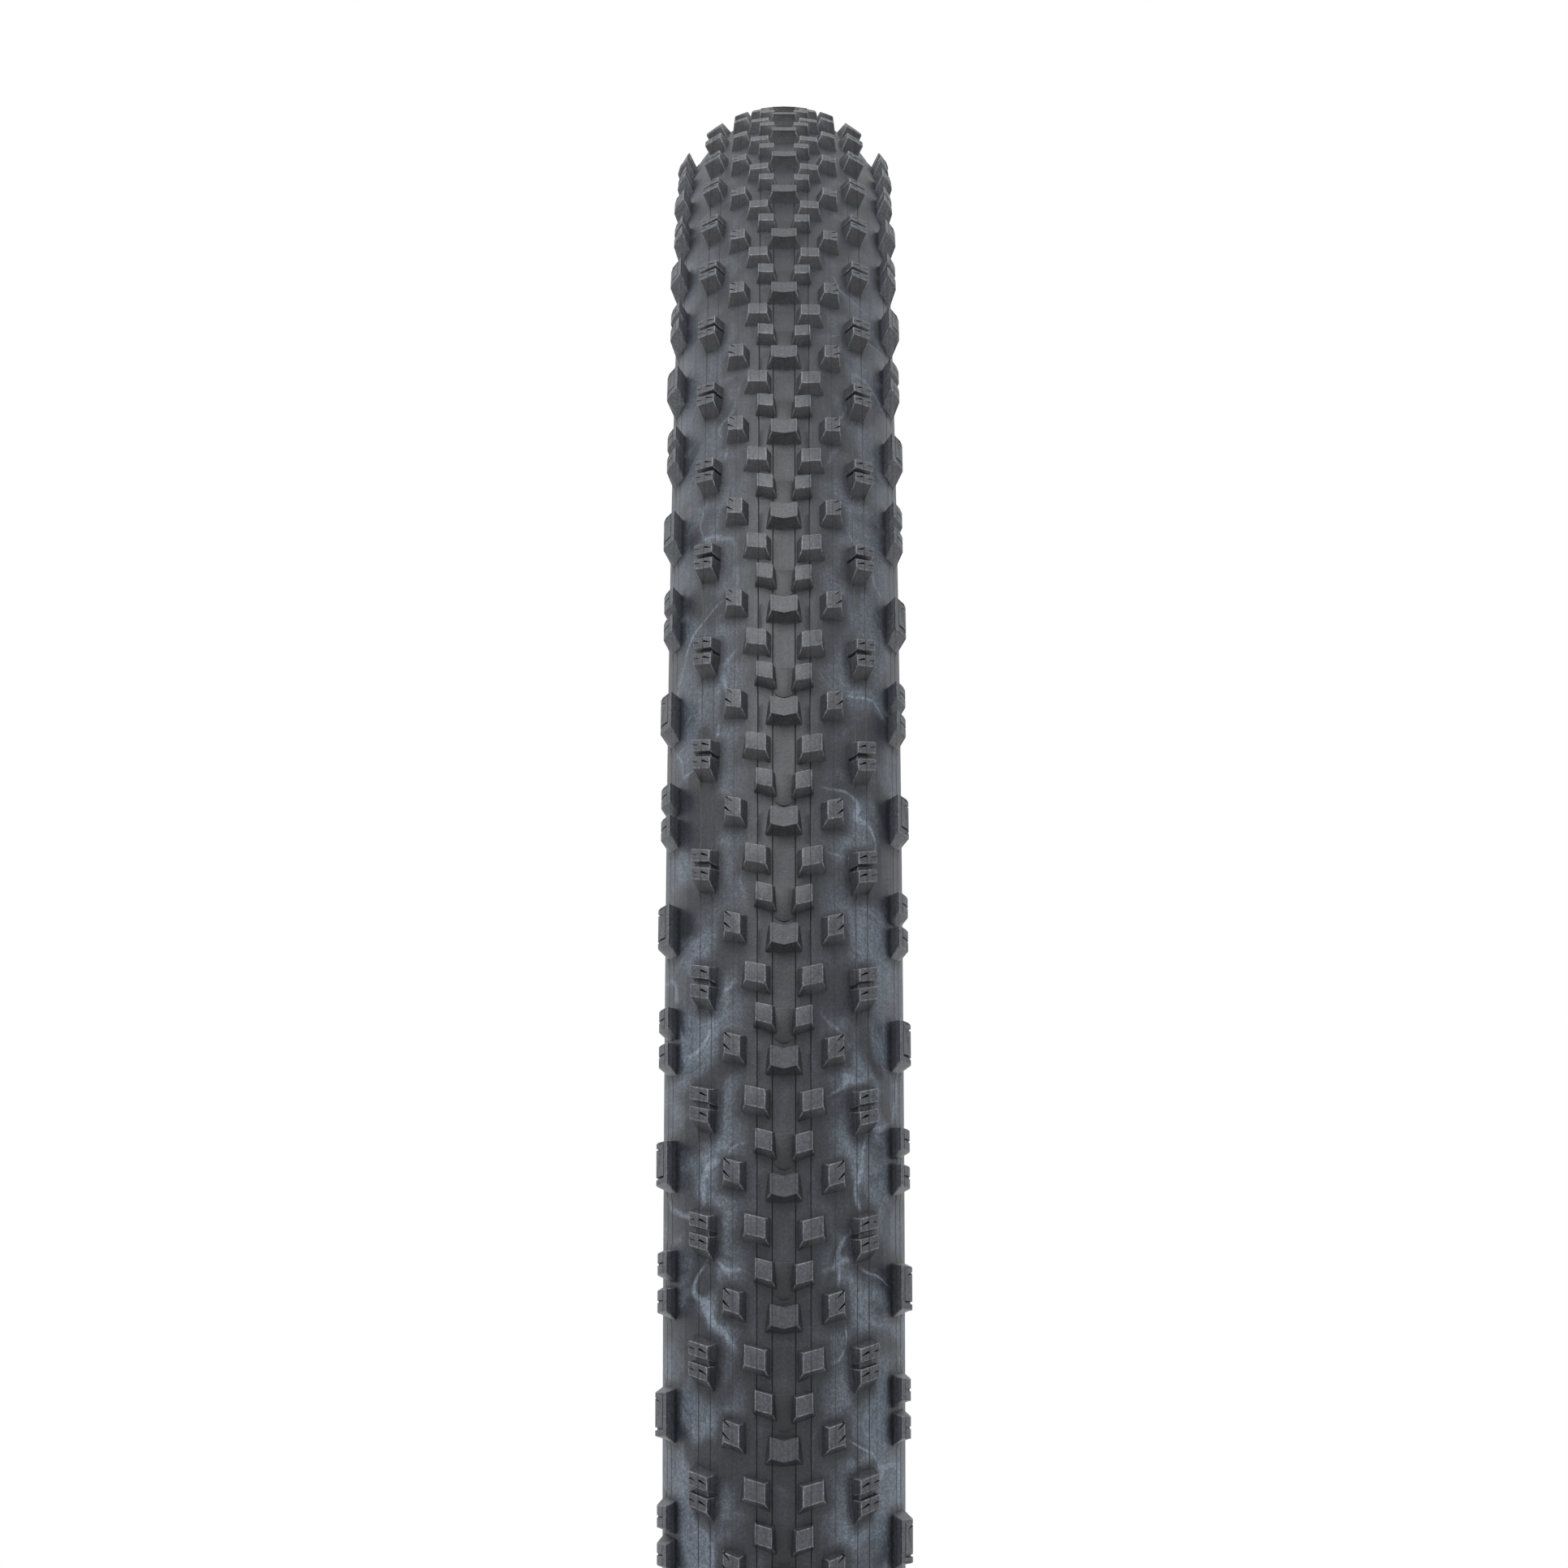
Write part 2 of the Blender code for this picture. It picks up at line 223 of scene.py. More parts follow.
class TyreSizes(bpy.types.PropertyGroup):
    """Sizes of the tread pattern and its mesh."""

    pitches: IntProperty(
        name="Pitches", description="Repeats of the pattern round the wheel, an even number",
        default=80, min=2, subtype="UNSIGNED",
    )
    first_chevron: FloatProperty(
        name="First chevron", description="Angle of the first chevron above the front",
        default=math.radians(1.2), subtype="ANGLE",
    )
    edge: length_property("Edge radius", "Rounding of the blocks' top edges", 0.2)
    corner: length_property("Corner cut", "Rounding of the blocks' upright corners", 0.22)
    fillet: length_property("Foot fillet", "Height of the floor's rise to a block's foot", 0.42)
    groove: length_property("Line depth", "Depth of the fine mould lines", 0.14)
    tongue: length_property("Tongue height", "Height of the low smooth plates in the crown's channel", 0.55)
    floor_step: length_property("Floor step", "Mesh spacing of the tread's floor", 1.45)


class TyreColours(bpy.types.PropertyGroup):
    """Colours of each rubber, cord and cloth, and the painted light and shade of the tread blocks."""

    tread: colour_property("Tread", "Clean rubber of the tread's floor", "#202228")
    # Painted light: tops bare of bloom and lighter than the clean floor, as lit from above
    tread_top_painted_light: colour_property("Tread block tops", "Tops of the centre and transition blocks", "#36373c")
    # Painted shade: walls darker than the tops
    tread_wall_painted_shade: colour_property("Tread block walls", "Walls of the centre and transition blocks", "#26262b")
    shoulder: colour_property("Shoulder", "Clean rubber of the shoulders' floor", "#282a30")
    # Painted light: tops bare of bloom and lighter than the clean floor, as lit from above
    shoulder_top: colour_property("Shoulder block tops", "Tops of the shoulder blocks", "#3f4045")
    # Painted light: walls a little lighter than the tops, to lift the shade that falls on them
    shoulder_wall: colour_property("Shoulder block walls", "Walls of the shoulder blocks", "#414348")
    bloom: colour_property("Bloom", "Wax that has come to the rubber's surface", "#5f6873")
    # Painted highlights on the blocks' rounded edges and upright corners
    painted_edge_highlight: colour_property("Painted edge highlights", "Painted highlights on the blocks' edges", "#5e6065")
    sidewall: colour_property("Sidewall", "Clean sidewall rubber", "#2b2b2e")
    sidewall_bloom: colour_property("Sidewall bloom", "Bloom on the sidewalls", "#4c5056")
    chafer: colour_property("Chafer", "Raised threads of the chafer cloth", "#3a3a3d")
    core: colour_property("Bead core", "Aramid yarn of the bead cores", "#c6a24a")
    liner: colour_property("Liner", "Butyl liner on the inside", "#343437")
    ply: colour_property("Ply", "Nylon cords of the casing ply", "#5a4f3f")
    belt: colour_property("Breaker", "Threads of the woven breaker", "#cabf9c")
    base: colour_property("Base rubber", "Rubber under the tread strips", "#262628")


class TyreStudio(bpy.types.PropertyGroup):
    """The stage's lights and floor."""

    key: power_property("Key light", "Soft box over the tyre", 57.0)
    front: power_property("Front light", "Soft box in front of the tyre", 2.5)
    rim: power_property("Rim light", "Soft box behind the tyre, on the left", 3.0)
    floor: colour_property("Floor", "Paper under the tyre", "#f4f4f4")


def node(tree, kind, inputs=None, out=0, **settings):
    """Adds a node with its settings and links, and returns one of its outputs, or all if out is None."""
    made = tree.nodes.new(kind)
    for key, value in settings.items():
        setattr(made, key, value)
    for key, value in (inputs or {}).items():
        if isinstance(value, bpy.types.NodeSocket):
            tree.links.new(value, made.inputs[key])
        else:
            made.inputs[key].default_value = value
    return made.outputs if out is None else made.outputs[out]


# ---------------------------------------------------------------- section and flat pattern


def flat(y, r):
    """(v, h) on the flat pattern of a section point (y, r)."""
    return CASING_ARC * math.atan2(y, r - CASING_CENTRE), math.hypot(y, r - CASING_CENTRE) - CASING_ARC


def block_top(y):
    """(v, h) of the surface that the blocks' tops share, at a distance from the tyre's middle."""
    lean = math.asin(y / BLOCK_ARC)
    return flat(y, BLOCK_CENTRE + BLOCK_ARC * math.cos(lean))


def section_arc(radius, start, end, step=6.0):
    """Points of the round casing section between two angles from the crown, in degrees."""
    count = max(1, math.ceil(abs(end - start) / step))
    angles = [math.radians(start + (end - start) * i / count) for i in range(count + 1)]
    return [(radius * math.sin(a), CASING_CENTRE + radius * math.cos(a)) for a in angles]


def mirrored(points):
    return [(-y, r) for y, r in points]


def offset_outline(points, reach):
    """An outline on the flat pattern with each edge moved out by its own distance, one per edge."""
    moved = []
    count = len(points)
    for i in range(count):
        before, here, after = points[i - 1], points[i], points[(i + 1) % count]
        a = Vector((here[0] - before[0], here[1] - before[1])).normalized()
        b = Vector((after[0] - here[0], after[1] - here[1])).normalized()
        na, nb = Vector((a.y, -a.x)), Vector((b.y, -b.x))
        da, db = reach[i - 1], reach[i]
        turn = a.cross(b)
        if abs(turn) < 0.05:
            out = (na + nb).normalized() * (da + db) / 2
        else:
            out = solve_miter(na, nb, da, db)
        moved.append((here[0] + out.x, here[1] + out.y))
    return moved


def solve_miter(na, nb, da, db):
    """The move that shifts two edges with outward normals na and nb by da and db."""
    det = na.x * nb.y - na.y * nb.x
    return Vector(((da * nb.y - db * na.y) / det, (db * na.x - da * nb.x) / det))


def cut_corners(points, sharp, size):
    """An outline with its sharp corners cut."""
    cut = []
    count = len(points)
    for i, here in enumerate(points):
        if not sharp[i]:
            cut.append(here.copy())
            continue
        for other in (points[i - 1], points[(i + 1) % count]):
            cut.append(here.lerp(other, size / (other - here).length))
    return cut


def block(bm, corners, foot, sizes):
    """A tread block. corners are its top edge's (u, v, h), anticlockwise, and foot its foot's (u, v). The
    foot is sunk in the floor, the walls lean out to it in a small fillet and the top edge is rounded."""
    corners = [Vector(c) for c in corners]
    foot = [Vector((u, v, -FOOT_DEPTH)) for u, v in foot]
    sharp, on_corner = [], []
    for before, here, after in zip(corners[-1:] + corners[:-1], corners, corners[1:] + corners[:1]):
        a, b = (here - before).xy, (after - here).xy
        sharp.append(a.angle(b) > SHARP_CORNER)
        on_corner += [True, False] if sharp[-1] else [False]
    corner, edge = sizes.corner / MM, sizes.edge / MM
    corners = cut_corners(corners, sharp, corner)
    foot = cut_corners(foot, sharp, corner)
    inset = offset_outline(corners, [-edge] * len(corners))
    rings = [[], [], [], [], []]
    for top, base, (iu, iv) in zip(corners, foot, inset):
        below = top + (base - top).normalized() * edge
        inner = Vector((iu, iv, top.z))
        rings[0].append(base)
        rings[1].append(base.lerp(top, FILLET_SHARE) + (top - base) * Vector((FILLET_LEAN, FILLET_LEAN, 0.0)))
        rings[2].append(below)
        rings[3].append(((below + inner) / 2).lerp(top, EDGE_FULLNESS))
        rings[4].append(inner)
    verts = [[bm.verts.new(p) for p in level] for level in rings]
    count = len(corners)
    painted_edge_highlight = bm.faces.layers.float["painted_edge_highlight"]
    for level, (low, high) in enumerate(zip(verts, verts[1:])):
        for i in range(count):
            j = (i + 1) % count
            side = bm.faces.new((low[i], low[j], high[j], high[i]))
            # The rounded top edge and the cut corners are marked for painted highlights
            side[painted_edge_highlight] = 1.0 if level > 1 or on_corner[i] else 0.0
    bm.faces.new(verts[-1])
    bm.faces.new(verts[0][::-1])


def slit(bm, start, end, widths, depth, height):
    """A cutter for a narrow cut in a block's top, from one point of the pattern to another."""
    a, b = Vector(start), Vector(end)
    side = Vector((a.y - b.y, b.x - a.x)).normalized() / 2
    plan = [a - side * widths[0], b - side * widths[1], b + side * widths[1], a + side * widths[0]]
    low = [bm.verts.new((p.x, p.y, height - depth)) for p in plan]
    high = [bm.verts.new((p.x, p.y, height + SLIT_CLEARANCE)) for p in plan]
    bm.faces.new(low[::-1])
    bm.faces.new(high)
    for i in range(4):
        j = (i + 1) % 4
        bm.faces.new((low[i], low[j], high[j], high[i]))


# ---------------------------------------------------------------- the pattern's blocks


def pitch_length(sizes):
    return math.tau * OUTSIDE_RADIUS / sizes.pitches


def round_wheel(degrees):
    """Distance round the wheel at the crown, in millimetres, of an angle."""
    return math.radians(degrees) * OUTSIDE_RADIUS


class SlantedBlock(NamedTuple):
    """A block to the right of the crown, between two distances from the tyre's middle. foot is how far its
    foot's corners stand from its top's, as (u, v): low near, high near, high far and low far."""

    length: float
    near: float
    far: float
    rise: float  # how far its far side is set round the wheel from its near side
    foot: tuple


OUTER_BLOCK = SlantedBlock(4.4, 4.1, 8.6, 1.3, ((-2.4, -1.1), (0.9, -1.0), (0.9, 1.4), (-1.3, 2.4)))
INNER_BLOCK = SlantedBlock(4.2, 2.55, 6.3, 1.1, ((-2.4, -1.1), (0.9, -0.5), (0.9, 0.9), (-1.1, 1.4)))
SINGLE_BLOCK = SlantedBlock(4.8, 9.75, 13.2, 1.3, ((-2.2, -0.8), (0.9, -0.8), (0.9, 1.9), (-1.6, 2.7)))
UPPER_HALF = SlantedBlock(3.05, 16.7, 20.8, 1.6, ((-0.6, -0.7), (1.0, -0.7), (2.0, 2.0), (-0.6, 1.6)))
LOWER_HALF = SlantedBlock(3.05, 16.7, 20.8, 1.6, ((-3.0, 0.5), (0.6, -0.7), (0.6, 1.6), (-2.5, 1.0)))
STEP = SlantedBlock(2.6, 17.2, 20.3, 1.2, ((-0.4, -0.7), (0.4, -0.7), (0.4, 0.6), (-0.4, 0.6)))
HALF_SPREAD = 2.3  # from the middle of a double block to the middle of each half
STEP_DROP = 1.3  # from the halves' tops down to the step between them


def slanted_block(bm, shape, middle, side, sizes, drop=0.0):
    """A block on either side of the crown. The pattern's left half is set a little further round the wheel
    than its right half."""
    low, high, lean = middle - shape.length / 2, middle + shape.length / 2, shape.rise / 2
    corners = (
        (low - lean, shape.near), (high - lean, shape.near),
        (high + lean, shape.far), (low + lean, shape.far),
    )
    top = [(u, *block_top(y)) for u, y in corners]
    shift = HALF_SHIFT * -side
    foot = [(u + du + shift, (v + dv) * side) for (u, v, h), (du, dv) in zip(top, shape.foot)]
    top = [(u + shift, v * side, h - drop) for u, v, h in top]
    if side < 0:
        top.reverse()
        foot.reverse()
    block(bm, top, foot, sizes)


def chevron(bm, middle, sizes):
    """The arrow-shaped block on the crown. Its foot spreads at the two lower corners."""
    half, point, width = 2.13, 0.4, 2.89
    plan = [
        (middle - half + point, -width), (middle + half + point, -width), (middle + half - point, 0.0),
        (middle + half + point, width), (middle - half + point, width), (middle - half - point, 0.0),
    ]
    top = [(u, *block_top(y)) for u, y in plan]
    foot = [
        (middle - half - 1.7, -width - 1.9), (middle + half + 1.2, -width - 0.8),
        (middle + half + 0.5, 0.0), (middle + half + 1.2, width + 0.8),
        (middle - half - 1.7, width + 1.9), (middle - half - 1.9, 0.0),
    ]
    block(bm, top[::-1], foot[::-1], sizes)


def tongue(bm, middle, sizes):
    """The low smooth plate in the channel between two inner blocks, rounded at its lower end."""
    width, length, foot_reach = 2.25, 8.6, 0.35
    upper = middle + 2.1
    arc = [math.radians(a) for a in range(-90, 91, 30)]
    nose = [(upper - length + width * (1 - 0.9 * math.cos(a)), width * math.sin(a)) for a in arc]
    plan = [(upper, width), (upper, -width)] + nose
    top = [(u, y, sizes.tongue / MM) for u, y in plan]
    foot = offset_outline(top, [foot_reach] * len(top))
    block(bm, top[::-1], foot[::-1], sizes)


def centre_blocks(bm, start, sizes):
    """A chevron on the crown, the plate below it, and on each side an inner and an outer centre block."""
    chevron(bm, start, sizes)
    tongue(bm, start + round_wheel(TONGUE_ANGLE), sizes)
    for side in (1, -1):
        slanted_block(bm, OUTER_BLOCK, start + round_wheel(OUTER_ANGLE), side, sizes)
        slanted_block(bm, INNER_BLOCK, start + round_wheel(INNER_ANGLE), side, sizes)


def transition_blocks(bm, cuts, start, sizes, side):
    """A single block with two slits, and a double block with a step between its halves and four slits."""
    single = start + round_wheel(SINGLE_ANGLE)
    slanted_block(bm, SINGLE_BLOCK, single, side, sizes)
    # Two slits, open at the block's far edge and narrowing inwards
    for u0, y0, u1, y1 in ((3.1, 13.3, 1.3, 11.7), (0.3, 13.5, -1.5, 11.8)):
        top_slit(cuts, (single + u0, y0), (single + u1, y1), (0.5, 0.12), 1.5, side)
    double = start + round_wheel(DOUBLE_ANGLE)
    for half, middle in ((UPPER_HALF, double + HALF_SPREAD), (LOWER_HALF, double - HALF_SPREAD)):
        slanted_block(bm, half, middle, side, sizes)
        # In each half, a slit open at the far edge and a finer one nearer the crown, both narrowing inwards
        for y0, y1, width in ((22.0, 19.5, 0.8), (18.5, 16.9, 0.5)):
            u0, u1 = [middle + half.rise * ((y - half.near) / (half.far - half.near) - 0.5) for y in (y0, y1)]
            top_slit(cuts, (u0 + 0.35, y0), (u1 - 0.1, y1), (width, 0.14), 1.9, side)
    slanted_block(bm, STEP, double, side, sizes, drop=STEP_DROP)


def top_slit(cuts, start, end, widths, depth, side):
    """A slit between two points (u, y) of the right-hand pattern, on either side."""
    shift = HALF_SHIFT * -side
    (v0, h0), (v1, h1) = block_top(start[1] * side), block_top(end[1] * side)
    slit(cuts, (start[0] + shift, v0), (end[0] + shift, v1), widths, depth, (h0 + h1) / 2)


def shoulder_block(bm, middle, length, side, sizes, inset=0.0):
    """A shoulder block. Its inner wall is nearly radial, and its outer wall runs down onto the sidewall."""
    low, high = middle - length / 2, middle + length / 2
    section = [(25.7, 353.5), (27.7 - inset, 350.9), (28.2 - inset, 349.4)]
    section = [flat(y * side, r) for y, r in section]
    top = [(low, v, h) for v, h in section] + [(high, v, h) for v, h in section[::-1]]
    foot_section = [flat(y * side, r)[0] for y, r in ((23.8, 348.8), (26.3, 345.4), (26.9, 342.6))]
    foot = [(low + du, v) for v, du in zip(foot_section, (-2.1, -1.0, 0.3))]
    foot += [(high + du, v) for v, du in zip(foot_section[::-1], (2.4, 1.8, 1.2))]
    if side > 0:
        top.reverse()
        foot.reverse()
    block(bm, top, foot, sizes)


def shoulder_slit(cuts, start, end, widths, depth, side):
    """A slit in a shoulder block's top, between two points (u, share of the way to its outer edge)."""
    (v0, h0), (v1, h1) = flat(26.0 * side, 353.7), flat(28.8 * side, 349.4)
    a, b = [(u, v0 + (v1 - v0) * share) for u, share in (start, end)]
    slit(cuts, a, b, widths, depth, (h0 + h1) / 2)


def shoulder_blocks(bm, cuts, start, sizes, side, long_block):
    """One long block, or two short ones."""
    if long_block:
        middle = start + round_wheel(LONG_ANGLE)
        shoulder_block(bm, middle, 10.0, side, sizes)
        # A fine line along the top, then a slit near each end that opens outwards
        shoulder_slit(cuts, (middle - 3.4, 0.25), (middle + 4.4, 0.25), (0.22, 0.22), 0.6, side)
        shoulder_slit(cuts, (middle - 3.3, 0.25), (middle - 3.3, 1.4), (0.5, 0.8), 1.5, side)
        shoulder_slit(cuts, (middle + 4.3, 1.3), (middle + 2.9, 0.5), (0.6, 0.2), 1.3, side)
        return
    pair = start + round_wheel(PAIR_ANGLE)
    for middle in (pair - 4.3, pair + 4.3):
        shoulder_block(bm, middle, 5.1, side, sizes, inset=0.4)
        # A fine line along the top, then a slit that opens outwards
        shoulder_slit(cuts, (middle - 2.9, 0.3), (middle + 2.9, 0.3), (0.22, 0.22), 0.6, side)
        shoulder_slit(cuts, (middle, 0.3), (middle, 1.4), (0.4, 0.75), 1.5, side)


# ---------------------------------------------------------------- tile meshes


def mesh_object(name, bm):
    """A new object in the scene from a bmesh."""
    mesh = bpy.data.meshes.new(name)
    bm.to_mesh(mesh)
    bm.free()
    piece = bpy.data.objects.new(name, mesh)
    bpy.context.scene.collection.objects.link(piece)
    return piece


def plain_mesh(piece):
    """Applies an object's modifiers, and leaves it with a plain mesh of its own."""
    graph = bpy.context.evaluated_depsgraph_get()
    old = piece.data
    piece.data = bpy.data.meshes.new_from_object(piece.evaluated_get(graph))
    piece.modifiers.clear()
    bpy.data.meshes.remove(old)


def cut_blocks(blocks, cuts):
    """The blocks with the slits cut out of them. The cut also joins the blocks where they overlap; with no
    slits, the blocks stay as they are.
    """
    piece = mesh_object("blocks", blocks)
    cutter = mesh_object("cuts", cuts)
    if cutter.data.vertices:
        boolean = piece.modifiers.new("Slits", "BOOLEAN")
        boolean.object = cutter
        boolean.operation = "DIFFERENCE"
        boolean.solver = "EXACT"
        boolean.use_self = True
        plain_mesh(piece)
    bpy.data.objects.remove(cutter)
    mesh = piece.data
    bpy.data.objects.remove(piece)
    return mesh


def strip_blocks(strip, sizes):
    """The blocks of one strip over two pitches."""
    bm, cuts = bmesh.new(), bmesh.new()
    # A face layer that marks where the blocks' edges get painted highlights
    bm.faces.layers.float.new("painted_edge_highlight")
    for pitch in (0, 1):
        start = pitch * pitch_length(sizes)
        if strip == "centre":
            centre_blocks(bm, start, sizes)
        kind, _, end = strip.partition("_")
        side = -1 if end == "left" else 1
        if kind == "transition":
            transition_blocks(bm, cuts, start, sizes, side)
        if kind == "shoulder":
            shoulder_blocks(bm, cuts, start, sizes, side, long_block=(pitch == 1) == (side < 0))
    bmesh.ops.recalc_face_normals(bm, faces=bm.faces)
    bmesh.ops.recalc_face_normals(cuts, faces=cuts.faces)
    return cut_blocks(bm, cuts)


def floor_columns(low, high, sizes):
    """Places across a strip for its floor's mesh: even steps, with a narrow groove at each mould line."""
    lines = [CASING_ARC * math.asin(y / CASING_ARC) * s for y, _ in MOULD_LINES for s in (-1, 1)]
    count = round((high - low) / (sizes.floor_step / MM))
    even = [low + (high - low) * i / count for i in range(count + 1)]
    grooves = [v for v in lines if low + EDGE_CLEARANCE < v < high - EDGE_CLEARANCE]
    columns = [(v, 0.0) for v in even if all(abs(v - g) > LINE_CLEARANCE for g in grooves)]
    for g in grooves:
        columns += [(g - LINE_HALF_WIDTH, 0.0), (g, -sizes.groove / MM), (g + LINE_HALF_WIDTH, 0.0)]
    return sorted(columns)


def strip_floor(low, high, sizes, nearest):
    """The floor of a strip over two pitches, closed below. It rises in a fillet beside each block."""
    columns = floor_columns(low, high, sizes)
    thickness = CASING_ARC - TREAD_INSIDE
    under = [(low + (high - low) * i / 4, -thickness) for i in range(4, -1, -1)]
    length = 2 * pitch_length(sizes)
    rows = 2 * round(length / 2 / (sizes.floor_step / MM))
    bm = bmesh.new()
    near = bm.verts.layers.float.new("near_block")
    # The same layer on the floor, where no painted highlights go
    bm.faces.layers.float.new("painted_edge_highlight")
    grid = []
    for i in range(rows + 1):
        row = []
        for v, h in columns + under:
            u = length * i / rows
            distance = nearest(u, v) if h > -thickness else FAR
            rise = sizes.fillet / MM * max(0.0, 1.0 - distance / FILLET_REACH) ** 2
            vert = bm.verts.new((u, v, h + rise))
            # The block's nearness, which the rubber turns into painted shade round its foot
            vert[near] = max(0.0, 1.0 - distance / NEAR_REACH)
            row.append(vert)
        grid.append(row)
    for a, b in zip(grid, grid[1:]):
        for i in range(len(a)):
            j = (i + 1) % len(a)
            bm.faces.new((a[i], b[i], b[j], a[j]))
    return bm


@functools.cache
def wrap_tree():
    """Geometry nodes that repeat a flat tile round the wheel and bend it to the casing's section."""
    tree = bpy.data.node_groups.new("Wrap round the wheel", "GeometryNodeTree")
    for name, kind in (
        ("Geometry", "Geometry"), ("Repeats", "Int"), ("Repeat length", "Float"), ("First angle", "Float"),
        ("Material", "Material"),
    ):
        tree.interface.new_socket(name, in_out="INPUT", socket_type="NodeSocket" + kind)
    tree.interface.new_socket("Geometry", in_out="OUTPUT", socket_type="NodeSocketGeometry")
    given = node(tree, "NodeGroupInput", out=None)
    place = node(tree, "GeometryNodeInputPosition")
    place = node(tree, "ShaderNodeSeparateXYZ", {0: place}, out=None)
    normal = node(tree, "GeometryNodeInputNormal")
    facing = node(tree, "ShaderNodeSeparateXYZ", {0: normal}, out="Z")
    steep = node(tree, "ShaderNodeMath", {0: 1.0, 1: facing}, operation="SUBTRACT")

    # The flat tile keeps its slopes and heights for the materials, and is then repeated
    marked = given["Geometry"]
    for name, value, domain in (("steepness", steep, "FACE"), ("height", place["Z"], "POINT")):
        marked = node(
            tree, "GeometryNodeStoreNamedAttribute", {"Geometry": marked, "Name": name, "Value": value},
            data_type="FLOAT", domain=domain,
        )
    step = node(tree, "ShaderNodeCombineXYZ", {"X": given["Repeat length"]})
    line = node(tree, "GeometryNodeMeshLine", {"Count": given["Repeats"], "Offset": step})
    copies = node(tree, "GeometryNodeInstanceOnPoints", {"Points": line, "Instance": marked})
    real = node(tree, "GeometryNodeRealizeInstances", {0: copies})

    # The bend: turn is the angle round the axle and lean the one round the casing, arm and hub their radii
    turn = node(tree, "ShaderNodeMath", {0: place["X"], 1: float(OUTSIDE_RADIUS)}, operation="DIVIDE")
    turn = node(tree, "ShaderNodeMath", {0: turn, 1: given["First angle"]}, operation="ADD")
    lean = node(tree, "ShaderNodeMath", {0: place["Y"], 1: CASING_ARC}, operation="DIVIDE")
    turn_sin, turn_cos, lean_sin, lean_cos = [
        node(tree, "ShaderNodeMath", {0: angle}, operation=kind)
        for angle in (turn, lean) for kind in ("SINE", "COSINE")
    ]
    arm = node(tree, "ShaderNodeMath", {0: place["Z"], 1: CASING_ARC}, operation="ADD")
    arm = node(tree, "ShaderNodeMath", {0: arm, 1: MM}, operation="MULTIPLY")
    hub = node(tree, "ShaderNodeMath", {0: CASING_CENTRE, 1: MM}, operation="MULTIPLY")
    out = node(tree, "ShaderNodeMath", {0: arm, 1: lean_cos, 2: hub}, operation="MULTIPLY_ADD")
    x, across, z = [
        node(tree, "ShaderNodeMath", {0: length, 1: part}, operation="MULTIPLY")
        for length, part in ((out, turn_cos), (arm, lean_sin), (out, turn_sin))
    ]
    bent = node(tree, "ShaderNodeCombineXYZ", {"X": x, "Y": across, "Z": z})
    wrapped = node(tree, "GeometryNodeSetPosition", {"Geometry": real, "Position": bent})
    joined = node(tree, "GeometryNodeMergeByDistance", {"Geometry": wrapped, "Distance": MERGE_DISTANCE})
    turned_out = node(tree, "GeometryNodeFlipFaces", {0: joined})
    whole = node(tree, "GeometryNodeRealizeInstances", {0: turned_out})
    coloured = node(tree, "GeometryNodeSetMaterial", {"Geometry": whole, "Material": given["Material"]})
    node(tree, "NodeGroupOutput", {0: coloured}, out=None)
    return tree


def wrap(piece, tree, sizes, material):
    """Runs the wrapping nodes on a flat tile, and leaves a plain mesh."""
    inputs = {s.name: s.identifier for s in tree.interface.items_tree if s.in_out == "INPUT"}
    modifier = piece.modifiers.new("Wrap", "NODES")
    modifier.node_group = tree
    modifier[inputs["Repeats"]] = sizes.pitches // 2
    modifier[inputs["Repeat length"]] = 2 * pitch_length(sizes)
    modifier[inputs["First angle"]] = sizes.first_chevron
    modifier[inputs["Material"]] = material
    plain_mesh(piece)


@functools.cache
def nearest_block():
    """A function that gives the distance from a point of the floor to the nearest block's foot."""
    sizes = bpy.context.scene.tyre_sizes
    trees = []
    for strip in ("centre", "transition_left", "transition_right", "shoulder_left", "shoulder_right"):
        mesh = strip_blocks(strip, sizes)
        bm = bmesh.new()
        bm.from_mesh(mesh)
        trees.append(BVHTree.FromBMesh(bm))
        bm.free()
        bpy.data.meshes.remove(mesh)
    length = 2 * pitch_length(sizes)

    def nearest(u, v):
        found = FAR
        for tree in trees:
            for shift in (-length, 0.0, length):
                hit = tree.find_nearest(Vector((u + shift, v, 0.3)), found)
                if hit[3] is not None:
                    found = min(found, hit[3])
        return found

    return nearest


def tread_strip(cad_node, strip, edges, material):
    """One strip of tread, floor and blocks, wrapped round the wheel."""
    sizes = bpy.context.scene.tyre_sizes
    bm = strip_floor(*edges, sizes, nearest_block())
    blocks = strip_blocks(strip, sizes)
    bm.from_mesh(blocks)
    bpy.data.meshes.remove(blocks)
    piece = mesh_object(cad_node + "_surface", bm)
    wrap(piece, wrap_tree(), sizes, material)
    settle(piece, cad_node)
    return piece


def settle(piece, cad_node):
    """Shades a finished piece, attaches it to the body it rides on, and hides the model part that it stands
    for.
    """
    piece.data.shade_smooth()
    piece.data.set_sharp_from_angle(angle=SHARP_EDGE)
    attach(piece, BODY)
    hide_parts(cad_node)


# ---------------------------------------------------------------- turned pieces


